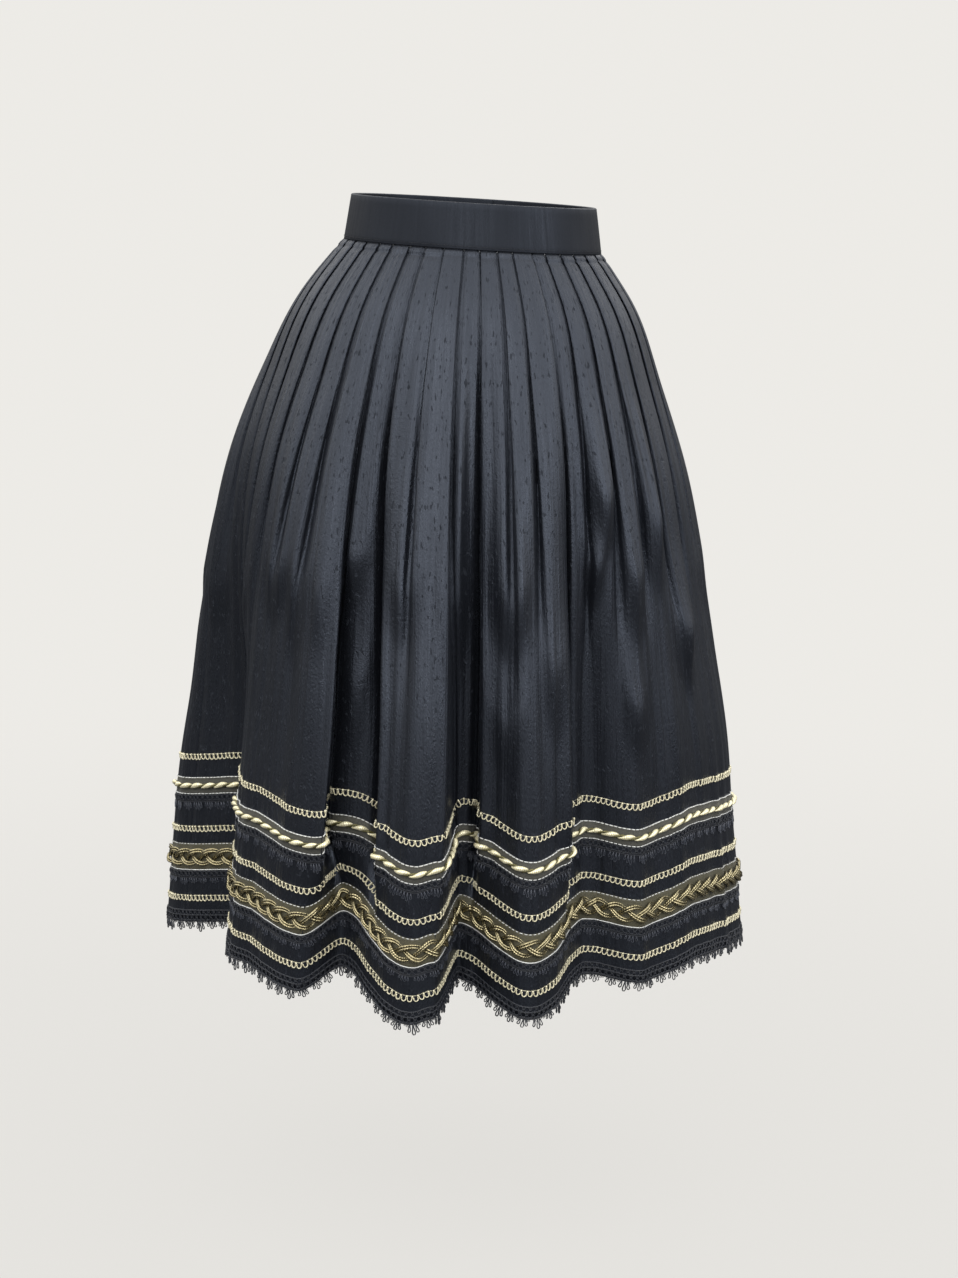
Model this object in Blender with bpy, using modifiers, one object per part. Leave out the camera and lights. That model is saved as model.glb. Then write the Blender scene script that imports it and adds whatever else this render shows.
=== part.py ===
"""A full dirndl skirt of pleated silk with eight rows of braid above its hem, hollow and as worn.

Metres, +Z up. The origin is the centre of the waistband and the front faces -Y. Angles round the
skirt are degrees from the middle of the front, growing towards +X, and they turn an ellipse, so
an angle is the ellipse's own parameter. A drop is the share of the way from waist seam to hem.
"""

import math
from collections import namedtuple

import bmesh
import bpy
import numpy as np

BAND_HEIGHT = 0.045
BAND_WALL = 0.0024
BAND_TOP_HALF_WIDTH = 0.1215
BAND_TOP_HALF_DEPTH = 0.086
BAND_COLUMNS = 64
LAP_DEGREES = 18.0
LAP_BLEND_DEGREES = 12.0
WAIST_TILT = math.tan(math.radians(1.8))
WAIST_TILT_ENDS_AT = 0.6

CLOTH_WALL = 0.0014
SEAM_GAP = 0.0003
SEAM_Z = -BAND_HEIGHT / 2
HEM_Z = -0.724
SKIRT_DROP = SEAM_Z - HEM_Z

PLEATS = 38
EDGE_SHARE = 0.48
HOLLOW_SHARE = 0.64
PLEAT_SPREAD_DEGREES = 3.6
PLEATS_OPEN_FROM_TO = [0.3, 0.75]
FRONT_PLEATS_TURN_AT = -28.0
BACK_PLEATS_TURN_AT = 180.0

BUTTON_RADIUS = 0.0075
BUTTON_THICKNESS = 0.0032
BUTTON_EDGE = 0.0009

BRAID_GAP = 0.0003
MM = 0.001

# Half sizes of the plain bell under the folds, at a height.
Section = namedtuple("Section", "z half_width front back")
SECTIONS = [
    Section(-0.0225, 0.128, 0.092, 0.088),
    Section(-0.075, 0.166, 0.125, 0.121),
    Section(-0.154, 0.201, 0.155, 0.154),
    Section(-0.215, 0.222, 0.172, 0.174),
    Section(-0.316, 0.243, 0.193, 0.197),
    Section(-0.378, 0.252, 0.203, 0.208),
    Section(-0.481, 0.266, 0.217, 0.224),
    Section(-0.5275, 0.273, 0.222, 0.230),
    Section(-0.724, 0.287, 0.237, 0.247),
]

# The bell hangs a little towards -X: millimetres along X that its right and left sides move.
Side = namedtuple("Side", "drop right left")
SIDES = [
    Side(0.00, 0, 0),
    Side(0.06, -2, -1.5),
    Side(0.15, -8, -4),
    Side(0.30, -14, -7),
    Side(0.42, -15, -7),
    Side(0.55, -11.5, -4.5),
    Side(0.66, -7, -0.6),
    Side(0.80, -7, 0),
    Side(0.90, -3.5, 0),
    Side(1.00, 0, 0),
]

# Crests and hollows of the soft folds at the hem: millimetres out from the bell, sideways lean
# towards growing angle, and how much lower than the mean the hem hangs there.
Fold = namedtuple("Fold", "angle out lean lower")
FOLDS = [
    Fold(-160, -24, 0, -12),
    Fold(-141, 24, 4, 12),
    Fold(-122, -24, 0, -10),
    Fold(-98, 13, 0, 2),
    Fold(-73, -58, 0, -14),
    Fold(-46, -4, 0, -7),
    Fold(-33, 17, 8, 3),
    Fold(-23, -20, 0, -16),
    Fold(-5.5, 38, 0, 18),
    Fold(3, -30, -3, -10),
    Fold(14, 22, 4, 16),
    Fold(30, -32, 0, -9),
    Fold(42, -8, 0, -1),
    Fold(60, -3, 0, -13),
    Fold(90, 9, 0, -8),
    Fold(107, -22, 0, -10),
    Fold(124, 22, -4, 11),
    Fold(141, -25, 0, -12),
    Fold(157, 23, -3, 13),
    Fold(170, -22, 0, -11),
    Fold(184, 25, 3, 14),
]

# How far the folds and the pleats' steps have grown at a drop: a share, and millimetres.
Growth = namedtuple("Growth", "drop folds pleat_step")
GROWTH = [
    Growth(0.00, 0.00, 1.8),
    Growth(0.08, 0.03, 3.0),
    Growth(0.22, 0.16, 5.5),
    Growth(0.45, 0.48, 5.0),
    Growth(0.62, 0.80, 2.5),
    Growth(0.74, 0.94, 0.0),
    Growth(1.00, 1.00, 0.0),
]

PANEL_DROPS = [0, 0.03, 0.08, 0.15, 0.24, 0.34, 0.45, 0.56, 0.66, 0.744, 0.87, 1]

# Braids sewn on in rows: millimetres from the row's top down to the skirt's edge, and the
# outline of its section as millimetres down from the row's top and out from its back.
Braid = namedtuple("Braid", "name above_edge outline material")
CHAIN = [(0, 0), (0, 1.6), (6.4, 1.6), (6.4, 0)]
ROPE_ON_RIBBON = [(0, 0), (0, 1.1), (6.2, 1.1), (9.2, 5.6), (12.2, 1.1), (18.5, 1.1), (18.5, 0)]
PLAIT_ON_RIBBON = [(0, 0), (0, 1.1), (4.6, 1.6), (9.6, 4.9), (19.6, 4.9), (24.4, 1.6), (29, 1.1), (29, 0)]
UPPER_GIMP = [(0, 0), (0, 1.8), (10.5, 1.8), (10.5, 0)]
LOWER_GIMP = [(0, 0), (0, 1.8), (8.5, 1.8), (8.5, 0)]
HEM_GIMP = [(0, 0), (0, 2.0), (13, 2.0), (13, 0)]
BRAIDS = [
    Braid("top_chain_braid", 177.0, CHAIN, "gold gimp"),
    Braid("rope_ribbon", 152.5, ROPE_ON_RIBBON, "olive ribbon"),
    Braid("upper_black_braid", 133.5, UPPER_GIMP, "black gimp"),
    Braid("middle_chain_braid", 101.5, CHAIN, "gold gimp"),
    Braid("plait_ribbon", 83.0, PLAIT_ON_RIBBON, "old gold plait"),
    Braid("lower_black_braid", 53.5, LOWER_GIMP, "black gimp"),
    Braid("bottom_chain_braid", 28.5, CHAIN, "gold gimp"),
    Braid("hem_braid", 13.0, HEM_GIMP, "black gimp"),
]
PLAIT_SWELL = 0.9
PICOT_LONG = 8.0
PICOT_SHORT = 2.5

Finish = namedtuple("Finish", "name color roughness metallic")
FINISHES = [
    Finish("black silk", (0.030, 0.033, 0.042), 0.48, 0.0),
    Finish("gold gimp", (0.52, 0.47, 0.30), 0.45, 0.35),
    Finish("olive ribbon", (0.13, 0.12, 0.065), 0.55, 0.2),
    Finish("old gold plait", (0.22, 0.19, 0.10), 0.42, 0.4),
    Finish("black gimp", (0.018, 0.020, 0.027), 0.6, 0.0),
]


def clear_scene():
    for obj in list(bpy.data.objects):
        bpy.data.objects.remove(obj, do_unlink=True)


def make_materials():
    made = {}
    for finish in FINISHES:
        material = bpy.data.materials.new(finish.name)
        material.use_nodes = True
        shader = material.node_tree.nodes["Principled BSDF"]
        shader.inputs["Base Color"].default_value = (*finish.color, 1.0)
        shader.inputs["Roughness"].default_value = finish.roughness
        shader.inputs["Metallic"].default_value = finish.metallic
        made[finish.name] = material
    return made


def eased(value, places, heights):
    """Goes from height to height, level at each place."""
    at = np.clip(np.searchsorted(places, value, side="right") - 1, 0, len(places) - 2)
    share = (value - places[at]) / (places[at + 1] - places[at])
    share = np.clip(share, 0, 1)
    share = share * share * (3 - 2 * share)
    return heights[at] * (1 - share) + heights[at + 1] * share


def curved(value, places, heights):
    """A smooth line through the heights, with the slope at each place from its neighbours."""
    slopes = np.gradient(heights, places)
    at = np.clip(np.searchsorted(places, value, side="right") - 1, 0, len(places) - 2)
    width = places[at + 1] - places[at]
    s = np.clip((value - places[at]) / width, 0, 1)
    return (
        heights[at] * (1 + 2 * s) * (1 - s) ** 2
        + width * slopes[at] * s * (1 - s) ** 2
        + heights[at + 1] * s * s * (3 - 2 * s)
        + width * slopes[at + 1] * s * s * (s - 1)
    )


def growth(column, drop):
    rows = np.array(GROWTH)
    return curved(drop, rows[:, 0], rows[:, Growth._fields.index(column)])


def fold(column, angle):
    """A fold's measure at an angle, which the table gives once for the whole way round."""
    rows = np.array(FOLDS)
    rows = np.concatenate([rows - [360, 0, 0, 0], rows, rows + [360, 0, 0, 0]])
    return eased(angle, rows[:, 0], rows[:, Fold._fields.index(column)]) * MM


def bell(angle, drop):
    """Point of the plain bell with its outward direction, before folds and pleats."""
    rows = np.array(SECTIONS)
    z = SEAM_Z - SKIRT_DROP * drop
    depth_below = -rows[:, 0]
    width, front, back = (curved(-z, depth_below, rows[:, i]) for i in (1, 2, 3))
    turn = np.radians(angle)
    depth = np.where(np.cos(turn) > 0, front, back)
    out = np.stack([depth * np.sin(turn), -width * np.cos(turn)], -1)
    out = out / np.linalg.norm(out, axis=-1, keepdims=True)
    return width * np.sin(turn), -depth * np.cos(turn), z, out


def tilt(x, drop):
    """How far the hang of the waistband lifts or lowers the cloth."""
    fade = eased(drop, np.array([0.0, WAIST_TILT_ENDS_AT]), np.array([1.0, 0.0]))
    return -WAIST_TILT * x * fade


def moved_aside(angle, drop):
    rows = np.array(SIDES)
    right, left = (curved(drop, rows[:, 0], rows[:, i]) for i in (1, 2))
    side = np.sin(np.radians(angle))
    return side ** 2 * np.where(side > 0, right, left) * MM


def skirt_point(angle, drop, raised):
    """Point of the cloth's outer face. raised is 1 at a pleat's edge and 0 at its hollow."""
    x, y, z, out = bell(angle, drop)
    grown = growth("folds", drop)
    away = grown * fold("out", angle) + (raised - 0.5) * MM * growth("pleat_step", drop)
    aside = grown * fold("lean", angle)
    x_at = x + out[..., 0] * away - out[..., 1] * aside + moved_aside(angle, drop)
    y_at = y + out[..., 1] * away + out[..., 0] * aside
    z_at = z - grown * drop * fold("lower", angle) + tilt(x, drop)
    return np.stack([x_at, y_at, z_at], -1)


def pleat_angle(turn):
    """Even turns spaced out so that pleats are equally wide on the oval waist."""
    return turn - PLEAT_SPREAD_DEGREES * np.sin(np.radians(2 * turn))


def pleat_columns(first_turn, pleats, turns_at):
    """Turn of each column at the waist and at the hem, with how far it is raised.

    A pleat has a middle, an edge and a hollow, which spread evenly as it opens downwards. The
    edges face growing angles before turns_at, and shrinking ones after it.
    """
    pitch = 360 / PLEATS
    columns = []
    for pleat in range(pleats):
        start = first_turn + pleat * pitch
        if start + pitch / 2 < turns_at:
            marks = [(0.0, 0.5), (EDGE_SHARE, 1.0), (HOLLOW_SHARE, 0.0)]
        else:
            marks = [(0.0, 0.5), (1 - HOLLOW_SHARE, 0.0), (1 - EDGE_SHARE, 1.0)]
        for place, (share, raised) in enumerate(marks):
            columns.append((start + share * pitch, start + place / len(marks) * pitch, raised))
    end = first_turn + pleats * pitch
    columns.append((end, end, 0.5))
    return np.array(columns).T


def panel_rows(first_turn, turns_at):
    """Grid of points of one panel, top row first, its side edges held back for the seams."""
    at_waist, at_hem, raised = pleat_columns(first_turn, PLEATS // 2, turns_at)
    rows = []
    for drop in PANEL_DROPS:
        opened = float(curved(drop, np.array(PLEATS_OPEN_FROM_TO), np.array([0.0, 1.0])))
        turns = at_waist * (1 - opened) + at_hem * opened
        rows.append(skirt_point(pleat_angle(turns), np.full_like(turns, drop), raised))
    rows = np.stack(rows)
    for edge, inner in ((0, 1), (-1, -2)):
        inward = rows[:, inner] - rows[:, edge]
        inward /= np.linalg.norm(inward, axis=1, keepdims=True)
        rows[:, edge] += inward * SEAM_GAP / 2
    rows[0, :, 2] -= SEAM_GAP
    return rows


def new_object(name, points, faces, collection, material):
    mesh = bpy.data.meshes.new(name)
    mesh.from_pydata([tuple(point) for point in points], [], faces)
    obj = bpy.data.objects.new(name, mesh)
    collection.objects.link(obj)
    mesh.materials.append(material)
    mesh.shade_smooth()
    return obj


def grid_faces(rows, columns, round_rows=False, round_columns=False):
    faces = []
    for row in range(rows if round_rows else rows - 1):
        for column in range(columns if round_columns else columns - 1):
            below = (row + 1) % rows
            beside = (column + 1) % columns
            faces.append((row * columns + column, below * columns + column,
                          below * columns + beside, row * columns + beside))
    return faces


def turn_outwards(obj):
    """Makes the faces of a closed mesh point out."""
    shape = bmesh.new()
    shape.from_mesh(obj.data)
    bmesh.ops.recalc_face_normals(shape, faces=shape.faces)
    shape.to_mesh(obj.data)
    shape.free()


def make_panel(name, rows, out, collection, material):
    """A sheet of cloth with its wall on the inside and quads along its four rims."""
    count, across = rows.shape[:2]
    size = count * across
    points = np.concatenate([rows.reshape(-1, 3), (rows - out * CLOTH_WALL).reshape(-1, 3)])
    faces = grid_faces(count, across)
    faces += [tuple(size + corner for corner in reversed(face)) for face in faces]
    top = list(range(across))
    right = [row * across + across - 1 for row in range(count)]
    bottom = [size - 1 - column for column in range(across)]
    left = [row * across for row in reversed(range(count))]
    rim = top + right[1:] + bottom[1:] + left[1:]
    faces += [(one, two, size + two, size + one) for one, two in zip(rim, rim[1:])]
    turn_outwards(new_object(name, points, faces, collection, material))


def loft(name, sections, closed, collection, material):
    """Joins outlines of equally many points in order, as a ring or with both ends filled."""
    count, across = sections.shape[:2]
    faces = grid_faces(count, across, round_rows=closed, round_columns=True)
    if not closed:
        last = (count - 1) * across
        faces.append(tuple(range(across)))
        faces.append(tuple(last + i for i in reversed(range(across))))
    turn_outwards(new_object(name, sections.reshape(-1, 3), faces, collection, material))


def band_point(angle, z, inset):
    up = (z - SEAM_Z) / BAND_HEIGHT
    seam = SECTIONS[0]
    width = seam.half_width + (BAND_TOP_HALF_WIDTH - seam.half_width) * up
    depth_at_seam = seam.front if math.cos(angle) > 0 else seam.back
    depth = depth_at_seam + (BAND_TOP_HALF_DEPTH - depth_at_seam) * up
    out = np.array([depth * math.sin(angle), -width * math.cos(angle)])
    out /= np.linalg.norm(out)
    x = width * math.sin(angle) - inset * out[0]
    y = -depth * math.cos(angle) - inset * out[1]
    return x, y, z - WAIST_TILT * x


def make_waistband(collection, material):
    """A strip round the waist whose ends lap at the middle of the back."""
    reach = 180 + LAP_DEGREES / 2
    underlap = BAND_WALL + SEAM_GAP
    top = BAND_HEIGHT / 2
    sections = []
    for angle in np.linspace(-reach, reach, BAND_COLUMNS):
        into = (angle + reach - LAP_DEGREES) / LAP_BLEND_DEGREES
        into = min(max(into, 0.0), 1.0)
        inset = underlap * (1 - into * into * (3 - 2 * into))
        turn = math.radians(angle)
        corners = ((top, 0), (SEAM_Z, 0), (SEAM_Z, BAND_WALL), (top, BAND_WALL))
        sections.append([band_point(turn, z, inset + depth) for z, depth in corners])
    loft("waistband", np.array(sections), False, collection, material)


def make_button(collection, material):
    """A flat covered button on the lap, its back just off the band."""
    x, y, z = band_point(math.pi, 0.0, 0.0)
    lean = math.atan2(SECTIONS[0].back - BAND_TOP_HALF_DEPTH, BAND_HEIGHT)
    away = SEAM_GAP + BUTTON_THICKNESS / 2
    bpy.ops.mesh.primitive_cylinder_add(
        vertices=24, radius=BUTTON_RADIUS, depth=BUTTON_THICKNESS,
        location=(x, y + away * math.cos(lean), z + away * math.sin(lean)),
        rotation=(-math.pi / 2 + lean, 0, 0),
    )
    obj = bpy.context.object
    obj.name = "back_button"
    for linked in list(obj.users_collection):
        linked.objects.unlink(obj)
    collection.objects.link(obj)
    obj.data.materials.append(material)
    rounding = obj.modifiers.new("rounded edge", "BEVEL")
    rounding.width = BUTTON_EDGE
    rounding.segments = 2


def ring_of_panels(front, back):
    """All columns of both panels in order round the hem, with the outward direction at each point.

    The two columns at a side seam share one direction, so that the walls stay clear there.
    """
    ring = np.concatenate([front, back], axis=1)
    across = np.roll(ring, -1, axis=1) - np.roll(ring, 1, axis=1)
    down = np.gradient(ring, axis=0)
    out = np.cross(across, down)
    out /= np.linalg.norm(out, axis=2, keepdims=True)
    if out[-1, 0] @ [*ring[-1, 0, :2], 0.0] < 0:
        out = -out
    seam = front.shape[1]
    for one, other in ((seam - 1, seam), (-1, 0)):
        shared = out[:, one] + out[:, other]
        shared /= np.linalg.norm(shared, axis=1, keepdims=True)
        out[:, one] = out[:, other] = shared
    return ring, out


def place_on_ring(ring, out, above_edge, raise_by):
    """Points on the panels' own facets, a distance up from the edge and moved out."""
    lengths = np.linalg.norm(np.diff(ring, axis=0), axis=2)[::-1].cumsum(axis=0)
    lengths = np.concatenate([np.zeros((1, ring.shape[1])), lengths])[::-1]
    placed = []
    for column in range(ring.shape[1]):
        run = lengths[:, column]
        row = min(max(int(np.sum(run > above_edge[column])) - 1, 0), len(run) - 2)
        share = (run[row] - above_edge[column]) / (run[row] - run[row + 1])
        point = ring[row, column] * (1 - share) + ring[row + 1, column] * share
        away = out[row, column] * (1 - share) + out[row + 1, column] * share
        placed.append(point + away / np.linalg.norm(away) * raise_by[column])
    return np.array(placed)


def braid_corner(braid, corner, count):
    """Heights above the edge and distances out along one corner of a braid's section."""
    down, off = braid.outline[corner]
    above = np.full(count, (braid.above_edge - down) * MM)
    away = np.full(count, BRAID_GAP + off * MM)
    column = np.arange(count)
    if braid.name == "plait_ribbon" and off > 2:
        upper = down < 15
        away += np.where((column % 2 == 0) == upper, PLAIT_SWELL, -PLAIT_SWELL) * MM
    if braid.name == "hem_braid" and down == braid.above_edge:
        above -= np.where(column % 2 == 0, PICOT_LONG, PICOT_SHORT) * MM
    return above, away


def make_braids(ring, out, collection, materials):
    count = ring.shape[1]
    for braid in BRAIDS:
        corners = []
        for corner in range(len(braid.outline)):
            above, away = braid_corner(braid, corner, count)
            corners.append(place_on_ring(ring, out, above, away))
        sections = np.stack(corners, axis=1)
        loft(braid.name, sections, True, collection, materials[braid.material])


def main():
    clear_scene()
    collection = bpy.data.collections.new("flared_skirt")
    bpy.context.scene.collection.children.link(collection)
    materials = make_materials()
    silk = materials["black silk"]
    front = panel_rows(-90.0, FRONT_PLEATS_TURN_AT)
    back = panel_rows(90.0, BACK_PLEATS_TURN_AT)
    make_waistband(collection, silk)
    make_button(collection, silk)
    ring, out = ring_of_panels(front, back)
    split = front.shape[1]
    make_panel("skirt_front", ring[:, :split], out[:, :split], collection, silk)
    make_panel("skirt_back", ring[:, split:], out[:, split:], collection, silk)
    make_braids(ring, out, collection, materials)


main()
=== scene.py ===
"""The looks of a full dirndl skirt of pleated silk with eight rows of braid above its hem.

Metres, +Z up, the front faces -Y. Angles round the skirt are degrees from the middle of the front,
growing towards +X, and they turn an ellipse. A drop is the share of the way from seam to hem.
"""

import math
from collections import namedtuple

import bmesh
import bpy
import numpy as np
from mathutils import Matrix, Vector


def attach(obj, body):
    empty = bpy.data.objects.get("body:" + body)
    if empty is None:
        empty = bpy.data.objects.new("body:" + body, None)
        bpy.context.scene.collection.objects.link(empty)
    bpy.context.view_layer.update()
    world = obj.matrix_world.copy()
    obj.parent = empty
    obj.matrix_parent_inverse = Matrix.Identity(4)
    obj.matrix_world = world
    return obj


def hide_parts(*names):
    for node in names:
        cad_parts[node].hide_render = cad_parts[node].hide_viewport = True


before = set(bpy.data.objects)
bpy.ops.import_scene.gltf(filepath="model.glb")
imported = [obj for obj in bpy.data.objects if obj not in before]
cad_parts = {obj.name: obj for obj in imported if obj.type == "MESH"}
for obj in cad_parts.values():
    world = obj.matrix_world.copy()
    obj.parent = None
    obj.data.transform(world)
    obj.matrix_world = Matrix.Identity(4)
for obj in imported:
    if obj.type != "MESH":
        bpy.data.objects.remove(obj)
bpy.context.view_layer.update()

MM = 0.001

# The photograph's camera: 3000 pixels of focal length on a picture 1278 pixels high.
PICTURE_HEIGHT = 1278
FOCAL_PIXELS = 3000.0
SENSOR_MM = 36.0
CAMERA_AT = (0.018, -3.0, 0.108)
CAMERA_DOWN_DEGREES = 9.94
CAMERA_ROLL_DEGREES = 1.72
FLOOR_BELOW_HEM = 0.26

# The waistband and the bell, as in the solids.
BAND_HEIGHT = 0.045
BAND_WALL = 0.0024
BAND_TOP_HALF_WIDTH = 0.1215
BAND_TOP_HALF_DEPTH = 0.086
BAND_COLUMNS = 288
LAP_DEGREES = 18.0
LAP_BLEND_DEGREES = 12.0
BAND_REACH = 180 + LAP_DEGREES / 2
PRESS_MARK_AT = 7.5
PRESS_MARK_MM = 0.25
BAND_WAVER_MM = 0.10
SEAM_GAP = 0.0003
WAIST_TILT = math.tan(math.radians(1.8))
WAIST_TILT_ENDS_AT = 0.6
SEAM_Z = -BAND_HEIGHT / 2
HEM_Z = -0.724
SKIRT_DROP = SEAM_Z - HEM_Z
CLOTH_WALL = 0.0005

Section = namedtuple("Section", "z half_width front back")
SECTIONS = [
    Section(-0.0225, 0.128, 0.092, 0.088),
    Section(-0.075, 0.166, 0.125, 0.121),
    Section(-0.154, 0.201, 0.155, 0.154),
    Section(-0.215, 0.222, 0.172, 0.174),
    Section(-0.316, 0.243, 0.193, 0.197),
    Section(-0.378, 0.252, 0.203, 0.208),
    Section(-0.481, 0.266, 0.217, 0.224),
    Section(-0.5275, 0.273, 0.222, 0.230),
    Section(-0.724, 0.287, 0.237, 0.247),
]

# The bell hangs a little towards -X: millimetres along X that its right and left sides move.
Side = namedtuple("Side", "drop right left")
SIDES = [
    Side(0.00, 0, 0),
    Side(0.06, -2, -1.5),
    Side(0.15, -8, -4),
    Side(0.30, -14, -7),
    Side(0.42, -15, -7),
    Side(0.55, -11.5, -4.5),
    Side(0.66, -7, -0.6),
    Side(0.80, -7, 0),
    Side(0.90, -3.5, 0),
    Side(1.00, 0, 0),
]

# Crests and hollows of the soft folds at the hem: millimetres out, sideways lean, and how much
# lower than the mean the hem hangs there.
Fold = namedtuple("Fold", "angle out lean lower")
FOLDS = [
    Fold(-160, -24, 0, -12),
    Fold(-141, 24, 4, 12),
    Fold(-122, -24, 0, -10),
    Fold(-98, 13, 0, 2),
    Fold(-73, -58, 0, -14),
    Fold(-46, -4, 0, -7),
    Fold(-30.5, 17, 7, 3),
    Fold(-23, -20, 0, -16),
    Fold(-6.5, 38, 0, 18),
    Fold(-3, 32, 0, 13),
    Fold(1.5, -30, 0, -10),
    Fold(14, 22, 4, 16),
    Fold(30, -32, 0, -9),
    Fold(42, -8, 0, -1),
    Fold(60, -3, 0, -13),
    Fold(90, 9, 0, -8),
    Fold(107, -22, 0, -10),
    Fold(124, 22, -4, 11),
    Fold(141, -25, 0, -12),
    Fold(157, 23, -3, 13),
    Fold(170, -22, 0, -11),
    Fold(184, 25, 3, 14),
]

Growth = namedtuple("Growth", "drop folds")
GROWTH = [
    Growth(0.00, 0.00),
    Growth(0.08, 0.03),
    Growth(0.22, 0.16),
    Growth(0.45, 0.48),
    Growth(0.62, 0.80),
    Growth(0.74, 0.94),
    Growth(1.00, 1.00),
]

# The dark lines between pleats: angle at the waist and at the braids, depth in millimetres half
# way down, the drop where the line is gone, and over how much of the drop it goes.
Line = namedtuple("Line", "at_waist at_braids deep gone going")
FRONT_LINES = [
    Line(-84.0, -82.0, 6, 0.50, 0.22),
    Line(-74.0, -74.0, 8, 0.62, 0.25),
    Line(-64.0, -66.0, 8, 0.56, 0.22),
    Line(-54.0, -56.0, 7, 0.52, 0.20),
    Line(-45.0, -46.0, 6, 0.50, 0.18),
    Line(-37.5, -38.0, 7, 0.55, 0.20),
    Line(-28.5, -25.8, 14, 0.87, 0.09),
    Line(-20.0, -14.4, 16, 0.88, 0.09),
    Line(-11.7, -10.0, 7, 0.62, 0.22),
    Line(-4.0, -0.8, 11, 0.86, 0.10),
    Line(3.9, 4.5, 13, 0.87, 0.09),
    Line(11.5, 10.5, 8, 0.60, 0.20),
    Line(18.2, 16.5, 7, 0.55, 0.20),
    Line(26.5, 23.3, 14, 0.84, 0.12),
    Line(34.0, 31.0, 8, 0.60, 0.20),
    Line(42.5, 40.0, 9, 0.56, 0.18),
    Line(51.0, 50.0, 8, 0.52, 0.18),
    Line(60.0, 62.0, 8, 0.60, 0.22),
    Line(71.0, 72.0, 7, 0.52, 0.20),
    Line(82.0, 82.0, 6, 0.50, 0.20),
]
BACK_LINES = 18
BACK_LINE_DEEP = (5.5, 11.0)
BACK_LINE_GONE = (0.48, 0.68)
BACK_LINE_GOING = 0.2
BACK_LINE_WANDER_DEGREES = 1.6
PLEAT_SPREAD_DEGREES = 3.6
CREASE_HOLDS_DEGREES = 4.6
CREASE_TUCK_MM = 3.0
CREASE_JUMP_MM = 34.0

# The waist angles where a line's crisp edge lies on its smaller side.
EDGES_FACE_ON = [(-95.0, -28.0), (-5.0, -3.0), (24.0, 28.0), (90.0, 180.0)]

WAIST_STEP_MM = 2.4
DEEPER = 1.1
FACE_SHARE = 0.25
FACE_CROWN_MM = 2.4
TUCK_MM = 8.5
DEEP_LINE_MM = (10.0, 13.0)
NEARBY_DEGREES = 0.2

# The drops between which a part of the relief comes in or goes.
LINES_SETTLE = (0.1, 0.8)
STEPS_SWELL = (0.06, 0.42)
CREASE_COMES = (0.35, 0.6)
CREASE_GOES = (0.765, 0.93)
CREASE_TUCK_COMES = (0.1, 0.3)
TUCK_GOES = (0.0, 0.30)
CROWN_COMES = (0.12, 0.45)
CROWN_GOES = (0.6, 0.85)
RIPPLES_COME = (0.05, 0.35)

# Half a pleat from its line to its middle: share of the pleat's width, share of the tuck that it
# lies under the edge, and how far it is raised.
Station = namedtuple("Station", "share tuck raised")
CRISP_HALF = [
    Station(0.00, 1.00, 0.00),
    Station(0.00, 0.45, 0.42),
    Station(0.00, -0.02, 0.90),
    Station(0.02, 0.00, 1.00),
    Station(0.10, 0.00, 1.00),
    Station(0.19, 0.00, 1.00),
    Station(0.30, 0.00, 1.00),
    Station(0.42, 0.00, 1.00),
]
SOFT_HALF = [
    Station(0.00, 0.00, 0.00),
    Station(0.05, 0.00, 0.05),
    Station(0.11, 0.00, 0.25),
    Station(0.17, 0.00, 0.57),
    Station(0.23, 0.00, 0.84),
    Station(0.29, 0.00, 0.98),
    Station(0.36, 0.00, 1.00),
    Station(0.45, 0.00, 1.00),
]
STATIONS = len(CRISP_HALF)

# Places where the cloth stands out and then drops straight: angle and half width in degrees, the
# drop where it ends, over how much of the drop it rises, and millimetres out.
Bulge = namedtuple("Bulge", "angle half ends rise out")
BULGES = [
    Bulge(-86, 4.5, 0.50, 0.30, 3),
    Bulge(-63, 4.0, 0.50, 0.26, 5),
    Bulge(-45, 3.6, 0.45, 0.22, 5),
    Bulge(-37.5, 3.0, 0.46, 0.20, 6),
    Bulge(-31, 1.8, 0.47, 0.20, 4),
    Bulge(-24.5, 2.8, 0.42, 0.16, 6),
    Bulge(-22.5, 2.2, 0.59, 0.10, 4),
    Bulge(-12, 3.4, 0.45, 0.18, 4),
    Bulge(-1, 2.6, 0.47, 0.18, 4),
    Bulge(10.5, 3.2, 0.46, 0.22, 7),
    Bulge(9.5, 3.0, 0.63, 0.10, 3),
    Bulge(20, 3.0, 0.55, 0.22, 5),
    Bulge(37, 3.0, 0.325, 0.14, 7),
    Bulge(33.5, 2.2, 0.42, 0.10, 6),
    Bulge(45, 3.4, 0.44, 0.16, 5),
    Bulge(43, 3.2, 0.62, 0.14, 4),
    Bulge(54, 3.0, 0.36, 0.18, 6),
    Bulge(64, 4.6, 0.52, 0.14, 7),
    Bulge(84, 4.6, 0.44, 0.24, 2.5),
    Bulge(103, 4.5, 0.44, 0.22, 6),
    Bulge(121, 4.0, 0.50, 0.24, 7),
    Bulge(137, 3.6, 0.42, 0.18, 5),
    Bulge(155, 4.2, 0.54, 0.22, 7),
    Bulge(172, 3.4, 0.45, 0.18, 5),
    Bulge(189, 4.2, 0.50, 0.24, 7),
    Bulge(206, 3.6, 0.41, 0.18, 5),
    Bulge(222, 4.4, 0.53, 0.22, 7),
    Bulge(239, 3.8, 0.46, 0.20, 5),
    Bulge(256, 4.4, 0.50, 0.24, 7),
]
BULGE_FALL = (0.07, 0.13)
BULGE_GAIN = 1.45
BULGE_POINT = 0.03
GOLDEN_SHARE = 0.618

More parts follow.
